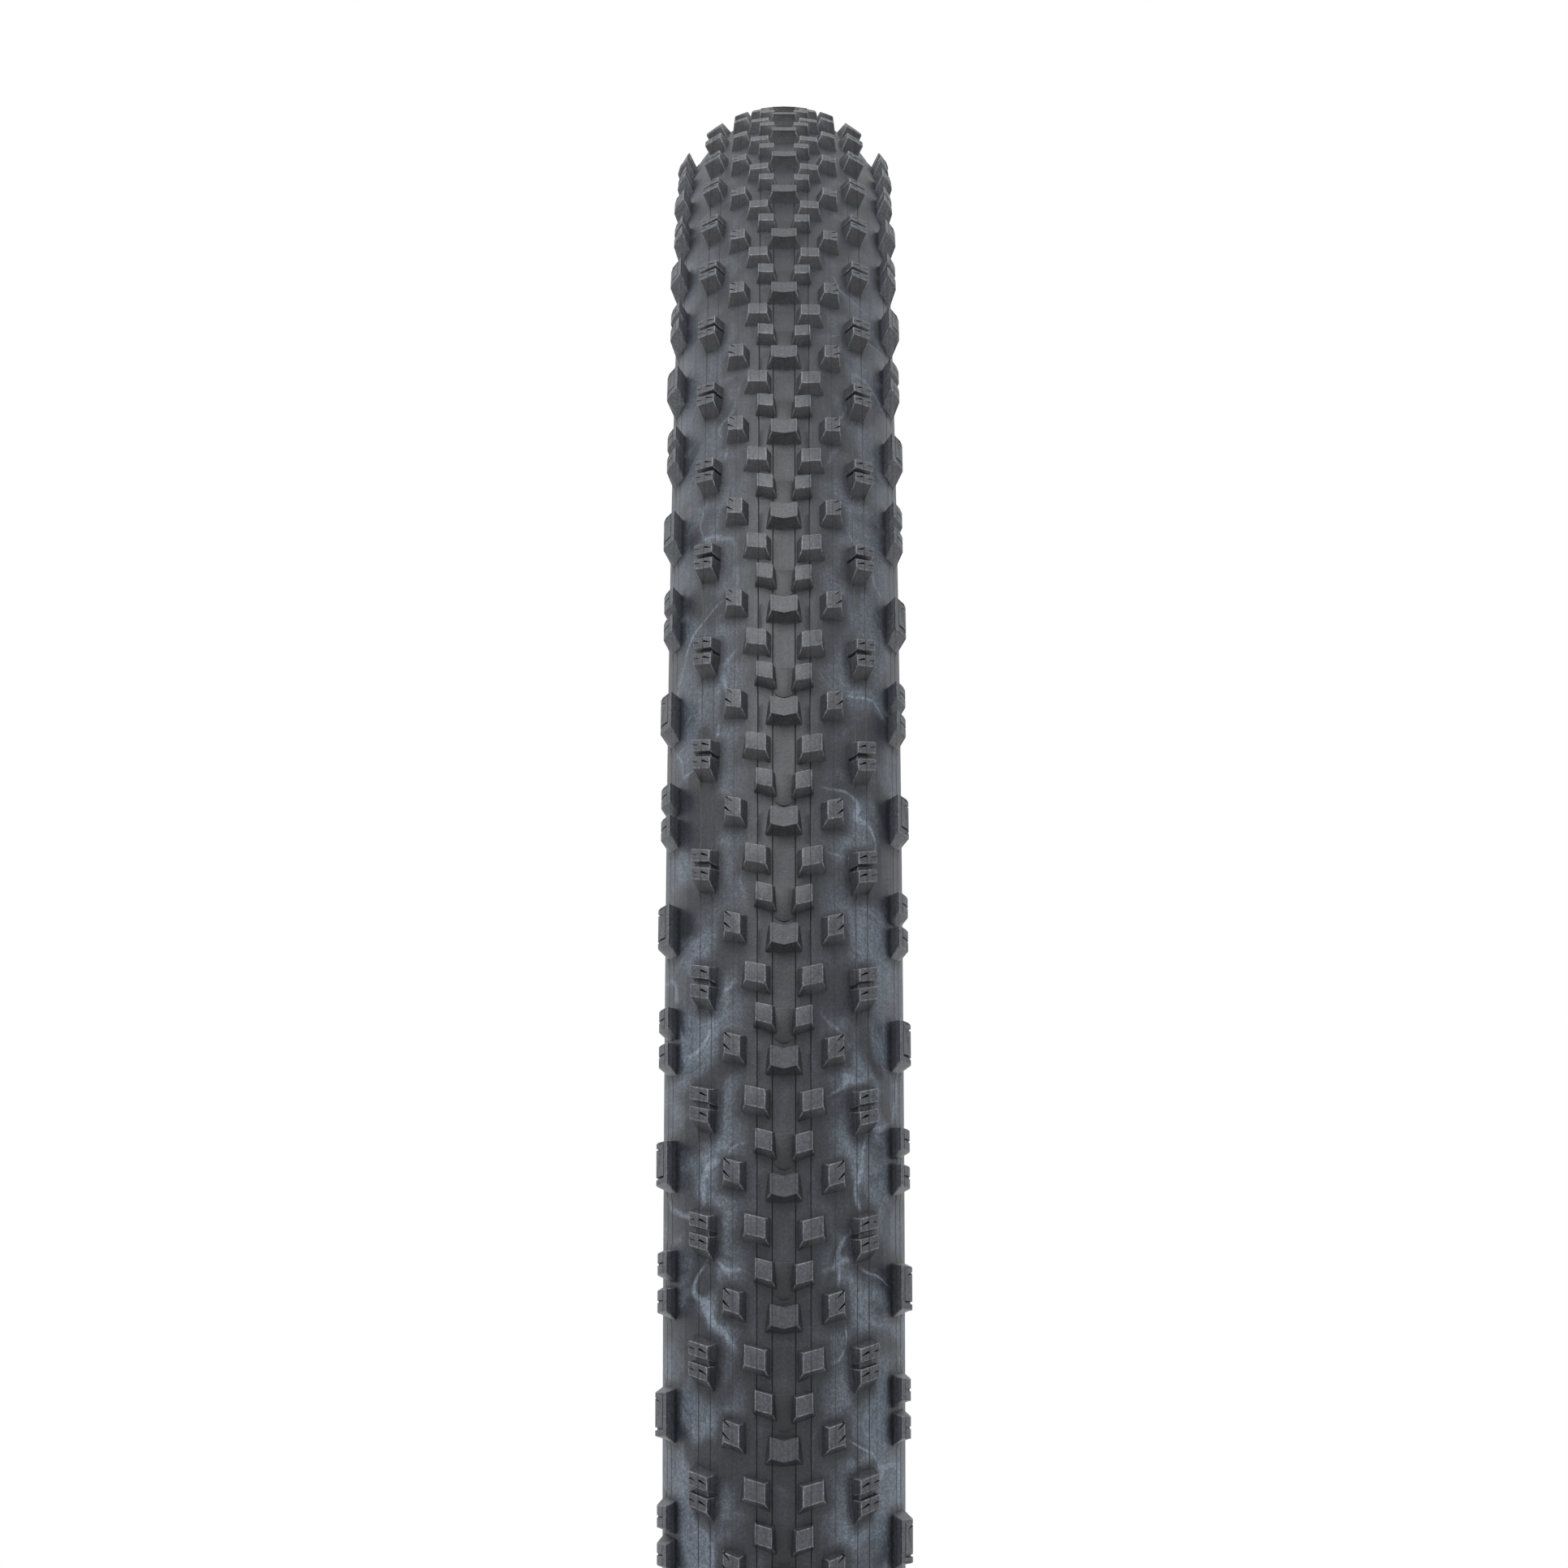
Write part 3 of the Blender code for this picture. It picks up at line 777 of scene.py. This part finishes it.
def ring(cad_node, outline, material, segments=RING_SEGMENTS):
    """A closed outline of section points (y, r) turned round the wheel's axis."""
    bm = bmesh.new()
    verts = [bm.verts.new((0.0, y * MM, r * MM)) for y, r in outline]
    edges = [bm.edges.new((a, b)) for a, b in zip(verts, verts[1:] + verts[:1])]
    bmesh.ops.spin(
        bm, geom=verts + edges, axis=(0, 1, 0), cent=(0, 0, 0),
        angle=math.tau, steps=segments, use_merge=True, use_duplicate=False,
    )
    bmesh.ops.remove_doubles(bm, verts=bm.verts, dist=MERGE_DISTANCE)
    bmesh.ops.recalc_face_normals(bm, faces=bm.faces)
    piece = mesh_object(cad_node + "_surface", bm)
    piece.data.materials.append(material)
    settle(piece, cad_node)
    return piece


def band(path, thickness):
    """The closed outline of a strip of even thickness that follows a path of section points."""
    sides = ([], [])
    for i, (y, r) in enumerate(path):
        before, after = path[max(i - 1, 0)], path[min(i + 1, len(path) - 1)]
        dy, dr = after[0] - before[0], after[1] - before[1]
        size = math.hypot(dy, dr)
        ny, nr = -dr / size * thickness / 2, dy / size * thickness / 2
        sides[0].append((y + ny, r + nr))
        sides[1].append((y - ny, r - nr))
    return sides[0] + sides[1][::-1]


def between(sides):
    return sides[0] + (sides[1] - sides[0]) / 2


def sidewall_outline():
    """From the tread's edge down to the rim's flange: fine rings, then a smooth wall with a few wider rings.
    share is how far down the wall a point lies."""
    top = math.degrees(SHOULDER_EDGE / CASING_ARC) + 0.3
    outer = []
    for i in range(SIDEWALL_STEPS + 1):
        share = i / SIDEWALL_STEPS
        radius = SIDEWALL_RADIUS + SHOULDER_SWELL * max(0.0, 1 - share / SWELL_REACH) ** 1.6
        if FINE_RINGS[0] < share < FINE_RINGS[1] and i % 2:
            radius += FINE_RING_HEIGHT
        for start, end, height in WALL_RINGS:
            if start <= share < end:
                radius += height
        lean = math.radians(top + (LOWEST - top) * i / SIDEWALL_STEPS)
        outer.append((radius * math.sin(lean), CASING_CENTRE + radius * math.cos(lean)))
    return outer + section_arc(SKIN[0], LOWEST, top, 5.0)


def chafer_outline():
    """Round the bead: a flat face for the rim's flange, a rounded heel and a thin toe."""
    return [
        (18.15, 318.3), (16.6, 317.1), (15.35, 316.3), (BEAD_FACE, 315.7), (BEAD_FACE, 311.9),
        (14.6, 311.2), (13.9, 310.85),
        (9.6, 310.8), (8.95, 311.0), (8.75, 311.3), (9.0, 311.5), (14.0, 311.45), (14.4, 311.8),
        (14.5, 316.2), (15.0, 316.8), (16.3, 317.6), (17.75, 318.8),
    ]


def ply_path():
    """The ply's path on the right, from its turned-up edge round the bead to the round section."""
    under = BEAD_SEAT + 1.05
    bead = [
        (14.0, 316.4), (13.97, under + 0.4), (13.6, under), (10.0, under), (9.75, under + 0.4),
        (9.75, 315.9),
    ]
    return section_arc(between(BELT), TURN_UP_EDGE, LOWEST) + bead


# ---------------------------------------------------------------- materials


class Place(NamedTuple):
    """Sockets for a point's place in millimetres."""

    point: bpy.types.NodeSocket
    along: bpy.types.NodeSocket  # round the wheel, at the crown
    across: bpy.types.NodeSocket  # along the axle
    out: bpy.types.NodeSocket  # from the axle
    level: bpy.types.NodeSocket  # above the axle


def ring_place(tree):
    """Adds the nodes that give a point's place."""
    place = node(tree, "ShaderNodeTexCoord", out="Object")
    point = node(tree, "ShaderNodeVectorMath", {0: place, "Scale": 1 / MM}, operation="SCALE")
    xyz = node(tree, "ShaderNodeSeparateXYZ", {0: point}, out=None)
    turn = node(tree, "ShaderNodeMath", {0: xyz["Z"], 1: xyz["X"]}, operation="ARCTAN2")
    along = node(tree, "ShaderNodeMath", {0: turn, 1: float(OUTSIDE_RADIUS)}, operation="MULTIPLY")
    wheel_plane = node(tree, "ShaderNodeCombineXYZ", {"X": xyz["X"], "Y": xyz["Z"]})
    out = node(tree, "ShaderNodeVectorMath", {0: wheel_plane}, out="Value", operation="LENGTH")
    return Place(point, along, xyz["Y"], out, xyz["Z"])


def new_material(name, roughness):
    """A new material, its node tree and its shader."""
    made = bpy.data.materials.new(name)
    made.use_nodes = True
    shader = made.node_tree.nodes["Principled BSDF"]
    shader.inputs["Roughness"].default_value = roughness
    shader.inputs["IOR"].default_value = RUBBER_IOR
    return made, made.node_tree, shader


def turned_streaks(tree, place, per_mm):
    """Fine streaks left by the turned mould, so many in a millimetre along, across and out."""
    at = node(tree, "ShaderNodeCombineXYZ", {"X": place.along, "Y": place.across, "Z": place.out})
    at = node(tree, "ShaderNodeVectorMath", {0: at, 1: per_mm}, operation="MULTIPLY")
    return node(tree, "ShaderNodeTexNoise", {"Vector": at, "Scale": 1.0, "Detail": 3.0})


def bloom_share(tree, place, warped, crinkle, centre, near, height):
    """How much bloom lies at a point, from 0 to 1: soft patches and thin curved wisps."""
    patches = node(
        tree, "ShaderNodeTexNoise",
        {"Vector": warped, "Scale": BLOOM_PATCHES, "Detail": 2.5, "Roughness": 0.45},
    )
    patches = node(
        tree, "ShaderNodeMapRange", {"Value": patches, "From Min": 0.36, "From Max": 0.60, "To Max": 0.72},
        interpolation_type="SMOOTHSTEP",
    )
    wisps = node(tree, "ShaderNodeTexNoise", {"Vector": warped, "Scale": BLOOM_WISPS, "Detail": 0.5})
    wisps = node(tree, "ShaderNodeMath", {0: wisps, 1: 0.48}, operation="SUBTRACT")
    wisps = node(tree, "ShaderNodeMath", {0: wisps}, operation="ABSOLUTE")
    wisps = node(
        tree, "ShaderNodeMapRange", {"Value": wisps, "From Min": 0.013, "From Max": 0.0, "To Max": 0.95},
        interpolation_type="SMOOTHSTEP",
    )
    share = node(tree, "ShaderNodeMath", {0: wisps, 1: patches}, operation="ADD")
    for value, start, end, low, high, kind in (
        (centre, 7.0, 15.0, 0.14, 1.0, "SMOOTHSTEP"),  # little of it on the crown
        (place.level, 90.0, 330.0, 1.0, 0.22, "LINEAR"),  # less towards the top of the tyre, as painted shade that darkens the upper floors
        (near, 1.0, 0.3, 0.0, 1.0, "SMOOTHSTEP"),  # none right beside a block, which paints shade round each block's foot
        (height, 0.45, 0.3, 0.0, 1.0, "SMOOTHSTEP"),  # none on the blocks
        (crinkle, 0.3, 0.7, 0.68, 1.12, "LINEAR"),  # uneven over the rubber's crinkles
    ):
        inputs = {"Value": value, "From Min": start, "From Max": end, "To Min": low, "To Max": high}
        factor = node(tree, "ShaderNodeMapRange", inputs, interpolation_type=kind)
        share = node(tree, "ShaderNodeMath", {0: share, 1: factor}, operation="MULTIPLY")
    return node(tree, "ShaderNodeClamp", {0: share})


def mould_lines(tree, centre):
    """How dark the lines are where the mould's rings meet, from 0 to 1."""
    lines = 0.0
    for line, strength in MOULD_LINES:
        gap = node(tree, "ShaderNodeMath", {0: centre, 1: line}, operation="SUBTRACT")
        gap = node(tree, "ShaderNodeMath", {0: gap}, operation="ABSOLUTE")
        inputs = {"Value": gap, "From Min": 0.05, "From Max": 0.19, "To Min": strength, "To Max": 0.0}
        dark = node(tree, "ShaderNodeMapRange", inputs, interpolation_type="SMOOTHSTEP")
        lines = node(tree, "ShaderNodeMath", {0: lines, 1: dark}, operation="MAXIMUM")
    return lines


def rubber_shade(tree, streak, crinkle, grain, centre, near, height):
    """What the colour of the rubber is multiplied by, for everything that makes it lighter or darker."""
    shade = 1.0
    for value, start, end, dark, light in (
        (streak, 0.3, 0.7, 0.85, 1.15),
        (crinkle, 0.36, 0.64, 0.84, 1.16),
        (grain, 0.38, 0.62, 0.7, 1.3),
        (near, 0.35, 1.0, 1.0, 0.82),  # painted shade in the corner round each block
        (centre, 2.3, 2.7, 0.84, 1.0),  # painted shade in the channel on the crown
    ):
        inputs = {"Value": value, "From Min": start, "From Max": end, "To Min": dark, "To Max": light}
        factor = node(tree, "ShaderNodeMapRange", inputs)
        shade = node(tree, "ShaderNodeMath", {0: shade, 1: factor}, operation="MULTIPLY")
    # The channel's low plates, which lie level at their own height
    tongue_height = bpy.context.scene.tyre_sizes.tongue / MM
    level = node(tree, "ShaderNodeMath", {0: height, 1: tongue_height, 2: 0.03}, operation="COMPARE")
    inside = node(
        tree, "ShaderNodeMapRange", {"Value": centre, "From Min": 2.4, "From Max": 2.1},
        interpolation_type="SMOOTHSTEP",
    )
    plate = node(tree, "ShaderNodeMath", {0: level, 1: inside}, operation="MULTIPLY")
    for share, drop in ((plate, 0.38), (mould_lines(tree, centre), 0.75)):
        factor = node(tree, "ShaderNodeMath", {0: share, 1: -drop, 2: 1.0}, operation="MULTIPLY_ADD")
        shade = node(tree, "ShaderNodeMath", {0: shade, 1: factor}, operation="MULTIPLY")
    return shade


def tread_rubber(name, clean, top, side, roughness):
    """Black natural and butadiene rubber, press moulded: matte and finely crinkled. Wax and antiozonant
    have come to its surface as a blue-grey bloom. The blocks' tops and walls get tones of painted light and
    shade, and their rounded edges and upright corners get pale painted highlights."""
    made, tree, shader = new_material(name, roughness)
    shader.inputs["Specular IOR Level"].default_value = 0.4  # the dry surface gives back less gloss
    colours = bpy.context.scene.tyre_colours
    place = ring_place(tree)
    near, steep, height, painted_edge_highlight = [
        node(tree, "ShaderNodeAttribute", out="Fac", attribute_name=field)
        for field in ("near_block", "steepness", "height", "painted_edge_highlight")
    ]
    centre = node(tree, "ShaderNodeMath", {0: place.across}, operation="ABSOLUTE")

    # One slow warp of the surface bends the bloom and the crinkles
    warp = {"Vector": place.point, "Scale": WARPS, "Detail": 1.5}
    warp = node(tree, "ShaderNodeTexNoise", warp, out="Color")
    warp = node(tree, "ShaderNodeVectorMath", {0: warp, "Scale": WARP_REACH}, operation="SCALE")
    warped = node(tree, "ShaderNodeVectorMath", {0: place.point, 1: warp}, operation="ADD")
    crinkle = node(
        tree, "ShaderNodeTexNoise",
        {"Vector": warped, "Scale": CRINKLES, "Detail": 4.0, "Roughness": 0.7, "Distortion": 1.2},
    )
    grain = node(
        tree, "ShaderNodeTexNoise", {"Vector": place.point, "Scale": GRAINS, "Detail": 2.0, "Roughness": 0.7}
    )
    streak = turned_streaks(tree, place, TREAD_STREAKS)
    haze = bloom_share(tree, place, warped, crinkle, centre, near, height)

    # Where each colour shows: (value, start, end, least, most, kind). The tops get a painted light tone, the
    # walls a painted shade tone that fades out towards the foot, and the rounded edges and cut corners pale
    # painted highlights
    upper, wall, wall_depth, highlight_mottle, highlight_height = [
        node(
            tree, "ShaderNodeMapRange",
            {"Value": value, "From Min": start, "From Max": end, "To Min": low, "To Max": high},
            interpolation_type=kind,
        )
        for value, start, end, low, high, kind in (
            (height, 1.2, 2.2, 0.0, 1.0, "SMOOTHSTEP"),
            (steep, 0.3, 0.45, 0.0, 1.0, "SMOOTHSTEP"),
            (height, 0.0, 1.6, 0.4, 1.0, "LINEAR"),
            (crinkle, 0.35, 0.65, 0.2, 1.0, "LINEAR"),
            (height, 0.6, 2.4, 0.0, 1.0, "SMOOTHSTEP"),
        )
    ]
    # The walls' painted shade tone fades out towards the foot
    wall = node(tree, "ShaderNodeMath", {0: wall, 1: wall_depth}, operation="MULTIPLY")
    # Pale painted highlights on the marked edges, broken up by the crinkles and kept to the upper part of the
    # blocks
    highlight_share = node(tree, "ShaderNodeMath", {0: painted_edge_highlight, 1: highlight_mottle}, operation="MULTIPLY")
    highlight_share = node(tree, "ShaderNodeMath", {0: highlight_share, 1: highlight_height}, operation="MULTIPLY")
    colour = clean
    for share, paint in ((haze, colours.bloom), (upper, top), (wall, side), (highlight_share, colours.painted_edge_highlight)):
        colour = node(tree, "ShaderNodeMix", {0: share, 6: colour, 7: paint}, out=2, data_type="RGBA")
    shade = rubber_shade(tree, streak, crinkle, grain, centre, near, height)
    colour = node(tree, "ShaderNodeVectorMath", {0: colour, "Scale": shade}, operation="SCALE")
    tree.links.new(colour, shader.inputs["Base Color"])

    grit = node(tree, "ShaderNodeTexNoise", {"Vector": place.point, "Scale": GRIT, "Detail": 2.0})
    relief = node(tree, "ShaderNodeMath", {0: crinkle, 1: 1.5, 2: grit}, operation="MULTIPLY_ADD")
    relief = node(tree, "ShaderNodeMath", {0: streak, 1: 0.8, 2: relief}, operation="MULTIPLY_ADD")
    bump = node(tree, "ShaderNodeBump", {"Height": relief, "Strength": 0.4, "Distance": TREAD_RELIEF * MM})
    tree.links.new(bump, shader.inputs["Normal"])
    rough = {"Value": haze, "To Min": roughness - 0.08, "To Max": roughness + 0.14}
    rough = node(tree, "ShaderNodeMapRange", rough)
    tree.links.new(rough, shader.inputs["Roughness"])
    return made


def sidewall_rubber(name, clean, bloom):
    """Thin carbon-black rubber over the casing: satin, with fine turned marks and a little bloom."""
    made, tree, shader = new_material(name, 0.5)
    place = ring_place(tree)
    marks = turned_streaks(tree, place, SIDEWALL_STREAKS)
    cloud = node(
        tree, "ShaderNodeTexNoise",
        {"Vector": place.point, "Scale": SIDEWALL_CLOUDS, "Detail": 5.0, "Distortion": 1.0},
    )
    haze = node(
        tree, "ShaderNodeMapRange", {"Value": cloud, "From Min": 0.42, "From Max": 0.7},
        interpolation_type="SMOOTHSTEP",
    )
    haze = node(tree, "ShaderNodeMath", {0: haze, 1: marks}, operation="MULTIPLY")
    colour = node(tree, "ShaderNodeMix", {0: haze, 6: clean, 7: bloom}, out=2, data_type="RGBA")
    tree.links.new(colour, shader.inputs["Base Color"])
    grit = node(tree, "ShaderNodeTexNoise", {"Vector": place.point, "Scale": SIDEWALL_GRIT, "Detail": 3.0})
    relief = node(tree, "ShaderNodeMath", {0: marks, 1: 2.0, 2: grit}, operation="MULTIPLY_ADD")
    bump = node(tree, "ShaderNodeBump", {"Height": relief, "Strength": 0.3, "Distance": FINE_RELIEF * MM})
    tree.links.new(bump, shader.inputs["Normal"])
    return made


def cloth(name, dark, light, pitch, roughness, depth, angle=0.0):
    """Threads or cords dipped in rubber. pitch is their real spacing and depth their relief, both in
    millimetres, and angle sets them on the bias."""
    made, tree, shader = new_material(name, roughness)
    place = ring_place(tree)
    reach = node(tree, "ShaderNodeMath", {0: place.across, 1: place.out}, operation="ADD")
    turns = round(math.tau * OUTSIDE_RADIUS / pitch)
    along = node(tree, "ShaderNodeMath", {0: place.along, 1: turns / OUTSIDE_RADIUS}, operation="MULTIPLY")
    reach = node(tree, "ShaderNodeMath", {0: reach, 1: math.tau / pitch}, operation="MULTIPLY")
    threads = []
    for sign in (1.0, -1.0):
        slope = sign * math.tan(angle)
        wave = node(tree, "ShaderNodeMath", {0: reach, 1: slope, 2: along}, operation="MULTIPLY_ADD")
        if sign < 0 and not angle:
            wave = reach
        threads.append(node(tree, "ShaderNodeMath", {0: wave}, operation="SINE"))
    over = node(tree, "ShaderNodeMath", {0: threads[0], 1: threads[1]}, operation="MAXIMUM")
    stain = node(tree, "ShaderNodeTexNoise", {"Vector": place.point, "Scale": STAINS, "Detail": 4.0})
    share = node(tree, "ShaderNodeMath", {0: over, 1: 0.35, 2: stain}, operation="MULTIPLY_ADD")
    share = node(
        tree, "ShaderNodeMapRange", {"Value": share, "From Min": 0.1, "From Max": 0.95},
        interpolation_type="SMOOTHSTEP",
    )
    colour = node(tree, "ShaderNodeMix", {0: share, 6: linear(dark), 7: light}, out=2, data_type="RGBA")
    tree.links.new(colour, shader.inputs["Base Color"])
    bump = node(tree, "ShaderNodeBump", {"Height": over, "Strength": 0.6, "Distance": depth * MM})
    tree.links.new(bump, shader.inputs["Normal"])
    return made


def floor_paper(colour):
    """Seamless studio paper: matte, with a faint fibre."""
    made, tree, shader = new_material("seamless_floor_paper", 0.8)
    shader.inputs["Base Color"].default_value = colour
    place = ring_place(tree)
    fibre = node(tree, "ShaderNodeTexNoise", {"Vector": place.point, "Scale": PAPER_FIBRES, "Detail": 3.0})
    bump = node(tree, "ShaderNodeBump", {"Height": fibre, "Strength": 0.04, "Distance": FINE_RELIEF * MM})
    tree.links.new(bump, shader.inputs["Normal"])
    return made


# ---------------------------------------------------------------- operators


class TYRE_OT_stage(bpy.types.Operator):
    """Adds the floor, the lights and the camera"""

    bl_idname = "tyre.stage"
    bl_label = "Stage"

    def execute(self, context):
        scene = context.scene
        lens = bpy.data.cameras.new("camera")
        lens.lens = CAMERA_LENS
        lens.sensor_width = CAMERA_SENSOR
        camera = bpy.data.objects.new("camera", lens)
        camera.location = CAMERA_PLACE
        camera.rotation_euler = (math.pi / 2, 0.0, math.pi / 2)
        scene.collection.objects.link(camera)
        scene.camera = camera
        bm = bmesh.new()
        bmesh.ops.create_circle(bm, cap_ends=True, segments=96, radius=FLOOR_RADIUS)
        bmesh.ops.translate(bm, verts=bm.verts, vec=(0, 0, CAD_BOX[0].z))
        bmesh.ops.recalc_face_normals(bm, faces=bm.faces)
        floor = mesh_object("floor", bm)
        studio = scene.tyre_studio
        floor.data.materials.append(floor_paper(studio.floor))
        self.add_light("key", KEY_LIGHT, studio.key)
        self.add_light("front", FRONT_LIGHT, studio.front)
        self.add_light("rim_left", RIM_LIGHT, studio.rim)
        world = bpy.data.worlds.new("studio")
        world.use_nodes = True
        tree = world.node_tree
        tree.nodes["Background"].inputs["Color"].default_value = (1.0, 1.0, 1.0, 1.0)
        tree.nodes["Background"].inputs["Strength"].default_value = 1.0
        scene.world = world
        scene.view_settings.view_transform = "Standard"
        return {"FINISHED"}

    def add_light(self, name, soft_box, power):
        """A square soft box that faces the tyre."""
        place, width = soft_box
        lamp = bpy.data.lights.new(name, "AREA")
        lamp.size = width
        lamp.energy = power
        holder = bpy.data.objects.new(name, lamp)
        holder.location = place
        holder.rotation_euler = (-Vector(place)).to_track_quat("-Z", "Y").to_euler()
        bpy.context.scene.collection.objects.link(holder)


class TYRE_OT_centre_tread(bpy.types.Operator):
    """Adds the chevrons and centre blocks on the crown"""

    bl_idname = "tyre.centre_tread"
    bl_label = "Centre tread"

    def execute(self, context):
        colours = context.scene.tyre_colours
        # Softer tread rubber: the dullest and darkest of the tyre's rubbers
        rubber = tread_rubber(
            "moulded_tread_rubber", colours.tread, colours.tread_top_painted_light, colours.tread_wall_painted_shade, 0.58
        )
        tread_strip("centre_tread", "centre", (-CENTRE_EDGE, CENTRE_EDGE), rubber)
        return {"FINISHED"}


class TYRE_OT_transition_treads(bpy.types.Operator):
    """Adds the slit blocks between the crown and the shoulders"""

    bl_idname = "tyre.transition_treads"
    bl_label = "Transition treads"

    def execute(self, context):
        rubber = bpy.data.materials["moulded_tread_rubber"]
        for end, edges in (
            ("left", (-TRANSITION_EDGE, -CENTRE_EDGE)), ("right", (CENTRE_EDGE, TRANSITION_EDGE)),
        ):
            tread_strip("transition_tread_" + end, "transition_" + end, edges, rubber)
        return {"FINISHED"}


class TYRE_OT_shoulder_treads(bpy.types.Operator):
    """Adds the shoulder blocks, in a harder compound"""

    bl_idname = "tyre.shoulder_treads"
    bl_label = "Shoulder treads"

    def execute(self, context):
        colours = context.scene.tyre_colours
        # Harder tread rubber: a little paler and smoother than the crown's
        rubber = tread_rubber(
            "moulded_shoulder_rubber", colours.shoulder, colours.shoulder_top, colours.shoulder_wall, 0.55
        )
        for end, edges in (
            ("left", (-SHOULDER_EDGE, -TRANSITION_EDGE)), ("right", (TRANSITION_EDGE, SHOULDER_EDGE)),
        ):
            tread_strip("shoulder_tread_" + end, "shoulder_" + end, edges, rubber)
        return {"FINISHED"}


class TYRE_OT_sidewalls(bpy.types.Operator):
    """Adds the two sidewalls"""

    bl_idname = "tyre.sidewalls"
    bl_label = "Sidewalls"

    def execute(self, context):
        colours = context.scene.tyre_colours
        rubber = sidewall_rubber("moulded_sidewall_rubber", colours.sidewall, colours.sidewall_bloom)
        outline = sidewall_outline()
        ring("sidewall_right", outline, rubber)
        ring("sidewall_left", mirrored(outline), rubber)
        return {"FINISHED"}


class TYRE_OT_beads(bpy.types.Operator):
    """Adds the chafer cloth and the bead cores"""

    bl_idname = "tyre.beads"
    bl_label = "Beads"

    def execute(self, context):
        colours = context.scene.tyre_colours
        # Square-woven nylon cloth rubbed full of rubber: dull and nearly black, with its weave standing out
        chafer = cloth("rubbered_chafer_cloth", "#1f1f21", colours.chafer, 0.9, 0.62, 0.12)
        # Twisted aramid yarn: golden, with the lay of the cord running round it
        aramid = cloth("aramid_bead_cord", "#7d6424", colours.core, 0.7, 0.6, 0.1, angle=math.radians(30))
        for end, side in (("right", 1), ("left", -1)):
            outline = chafer_outline()
            core = [
                (CORE_MIDDLE[0] + CORE_RADIUS * math.sin(t), CORE_MIDDLE[1] + CORE_RADIUS * math.cos(t))
                for t in [i * math.tau / 12 for i in range(12)]
            ]
            if side < 0:
                outline, core = mirrored(outline), mirrored(core)
            ring("chafer_" + end, outline, chafer)
            ring("bead_core_" + end, core, aramid, HIDDEN_SEGMENTS)
        return {"FINISHED"}


class TYRE_OT_casing(bpy.types.Operator):
    """Adds the layers under the tread: liner, ply, belt and base rubber"""

    bl_idname = "tyre.casing"
    bl_label = "Casing layers"

    def execute(self, context):
        colours = context.scene.tyre_colours
        bias = math.radians(45)
        # Butyl rubber rolled thin on a calender: satin black, with the ply's cords showing through
        butyl = cloth("calendered_butyl_liner", "#1c1c1e", colours.liner, 1.1, 0.5, 0.08, angle=bias)
        # Nylon cords dipped in adhesive and laid on the bias: brown, dull and finely ribbed
        nylon = cloth("dipped_nylon_ply", "#2f2a23", colours.ply, 0.5, 0.75, 0.1, angle=bias)
        # Undyed square-woven cloth: pale, coarse and quite matte
        woven = cloth("woven_breaker", "#8f8666", colours.belt, 0.8, 0.8, 0.12)
        # Plain rubber rolled on a calender: even and dark, with no bloom
        base = sidewall_rubber("calendered_base_rubber", colours.base, colours.base)
        toe = (10.2, 316.96)
        body = section_arc(between(LINER), -LOWEST, LOWEST)
        liner = band(mirrored([toe]) + body + [toe], LINER[1] - LINER[0])
        ring("inner_liner", liner, butyl)
        right = ply_path()
        body = section_arc(between(PLY), -LOWEST, LOWEST)
        ply = band(mirrored(right) + body + right[::-1], PLY[1] - PLY[0])
        ring("casing_ply", ply, nylon, HIDDEN_SEGMENTS)
        belt = band(section_arc(between(BELT), -BELT_EDGE, BELT_EDGE), BELT[1] - BELT[0])
        ring("puncture_belt", belt, woven, HIDDEN_SEGMENTS)
        skin = band(section_arc(between(SKIN), -SKIN_EDGE, SKIN_EDGE), SKIN[1] - SKIN[0])
        ring("tread_base", skin, base, HIDDEN_SEGMENTS)
        return {"FINISHED"}


class TYRE_PT_panel(bpy.types.Panel):
    """Lists the tyre's operators and their settings"""

    bl_idname = "TYRE_PT_panel"
    bl_label = "Folding tyre"
    bl_space_type = "VIEW_3D"
    bl_region_type = "UI"
    bl_category = "Tyre"

    def draw(self, context):
        for operator in OPERATORS:
            self.layout.operator(operator.bl_idname)
        for group in (context.scene.tyre_sizes, context.scene.tyre_colours, context.scene.tyre_studio):
            for name in type(group).__annotations__:
                self.layout.prop(group, name)


OPERATORS = (
    TYRE_OT_stage, TYRE_OT_centre_tread, TYRE_OT_transition_treads, TYRE_OT_shoulder_treads,
    TYRE_OT_sidewalls, TYRE_OT_beads, TYRE_OT_casing,
)
CLASSES = (TyreSizes, TyreColours, TyreStudio, *OPERATORS, TYRE_PT_panel)


def register():
    for item in CLASSES:
        bpy.utils.register_class(item)
    bpy.types.Scene.tyre_sizes = PointerProperty(type=TyreSizes)
    bpy.types.Scene.tyre_colours = PointerProperty(type=TyreColours)
    bpy.types.Scene.tyre_studio = PointerProperty(type=TyreStudio)


def unregister():
    del bpy.types.Scene.tyre_studio
    del bpy.types.Scene.tyre_colours
    del bpy.types.Scene.tyre_sizes
    for item in reversed(CLASSES):
        bpy.utils.unregister_class(item)


def main():
    register()
    bpy.ops.tyre.stage()
    bpy.ops.tyre.centre_tread()
    bpy.ops.tyre.transition_treads()
    bpy.ops.tyre.shoulder_treads()
    bpy.ops.tyre.sidewalls()
    bpy.ops.tyre.beads()
    bpy.ops.tyre.casing()


if __name__ == "__main__":
    main()
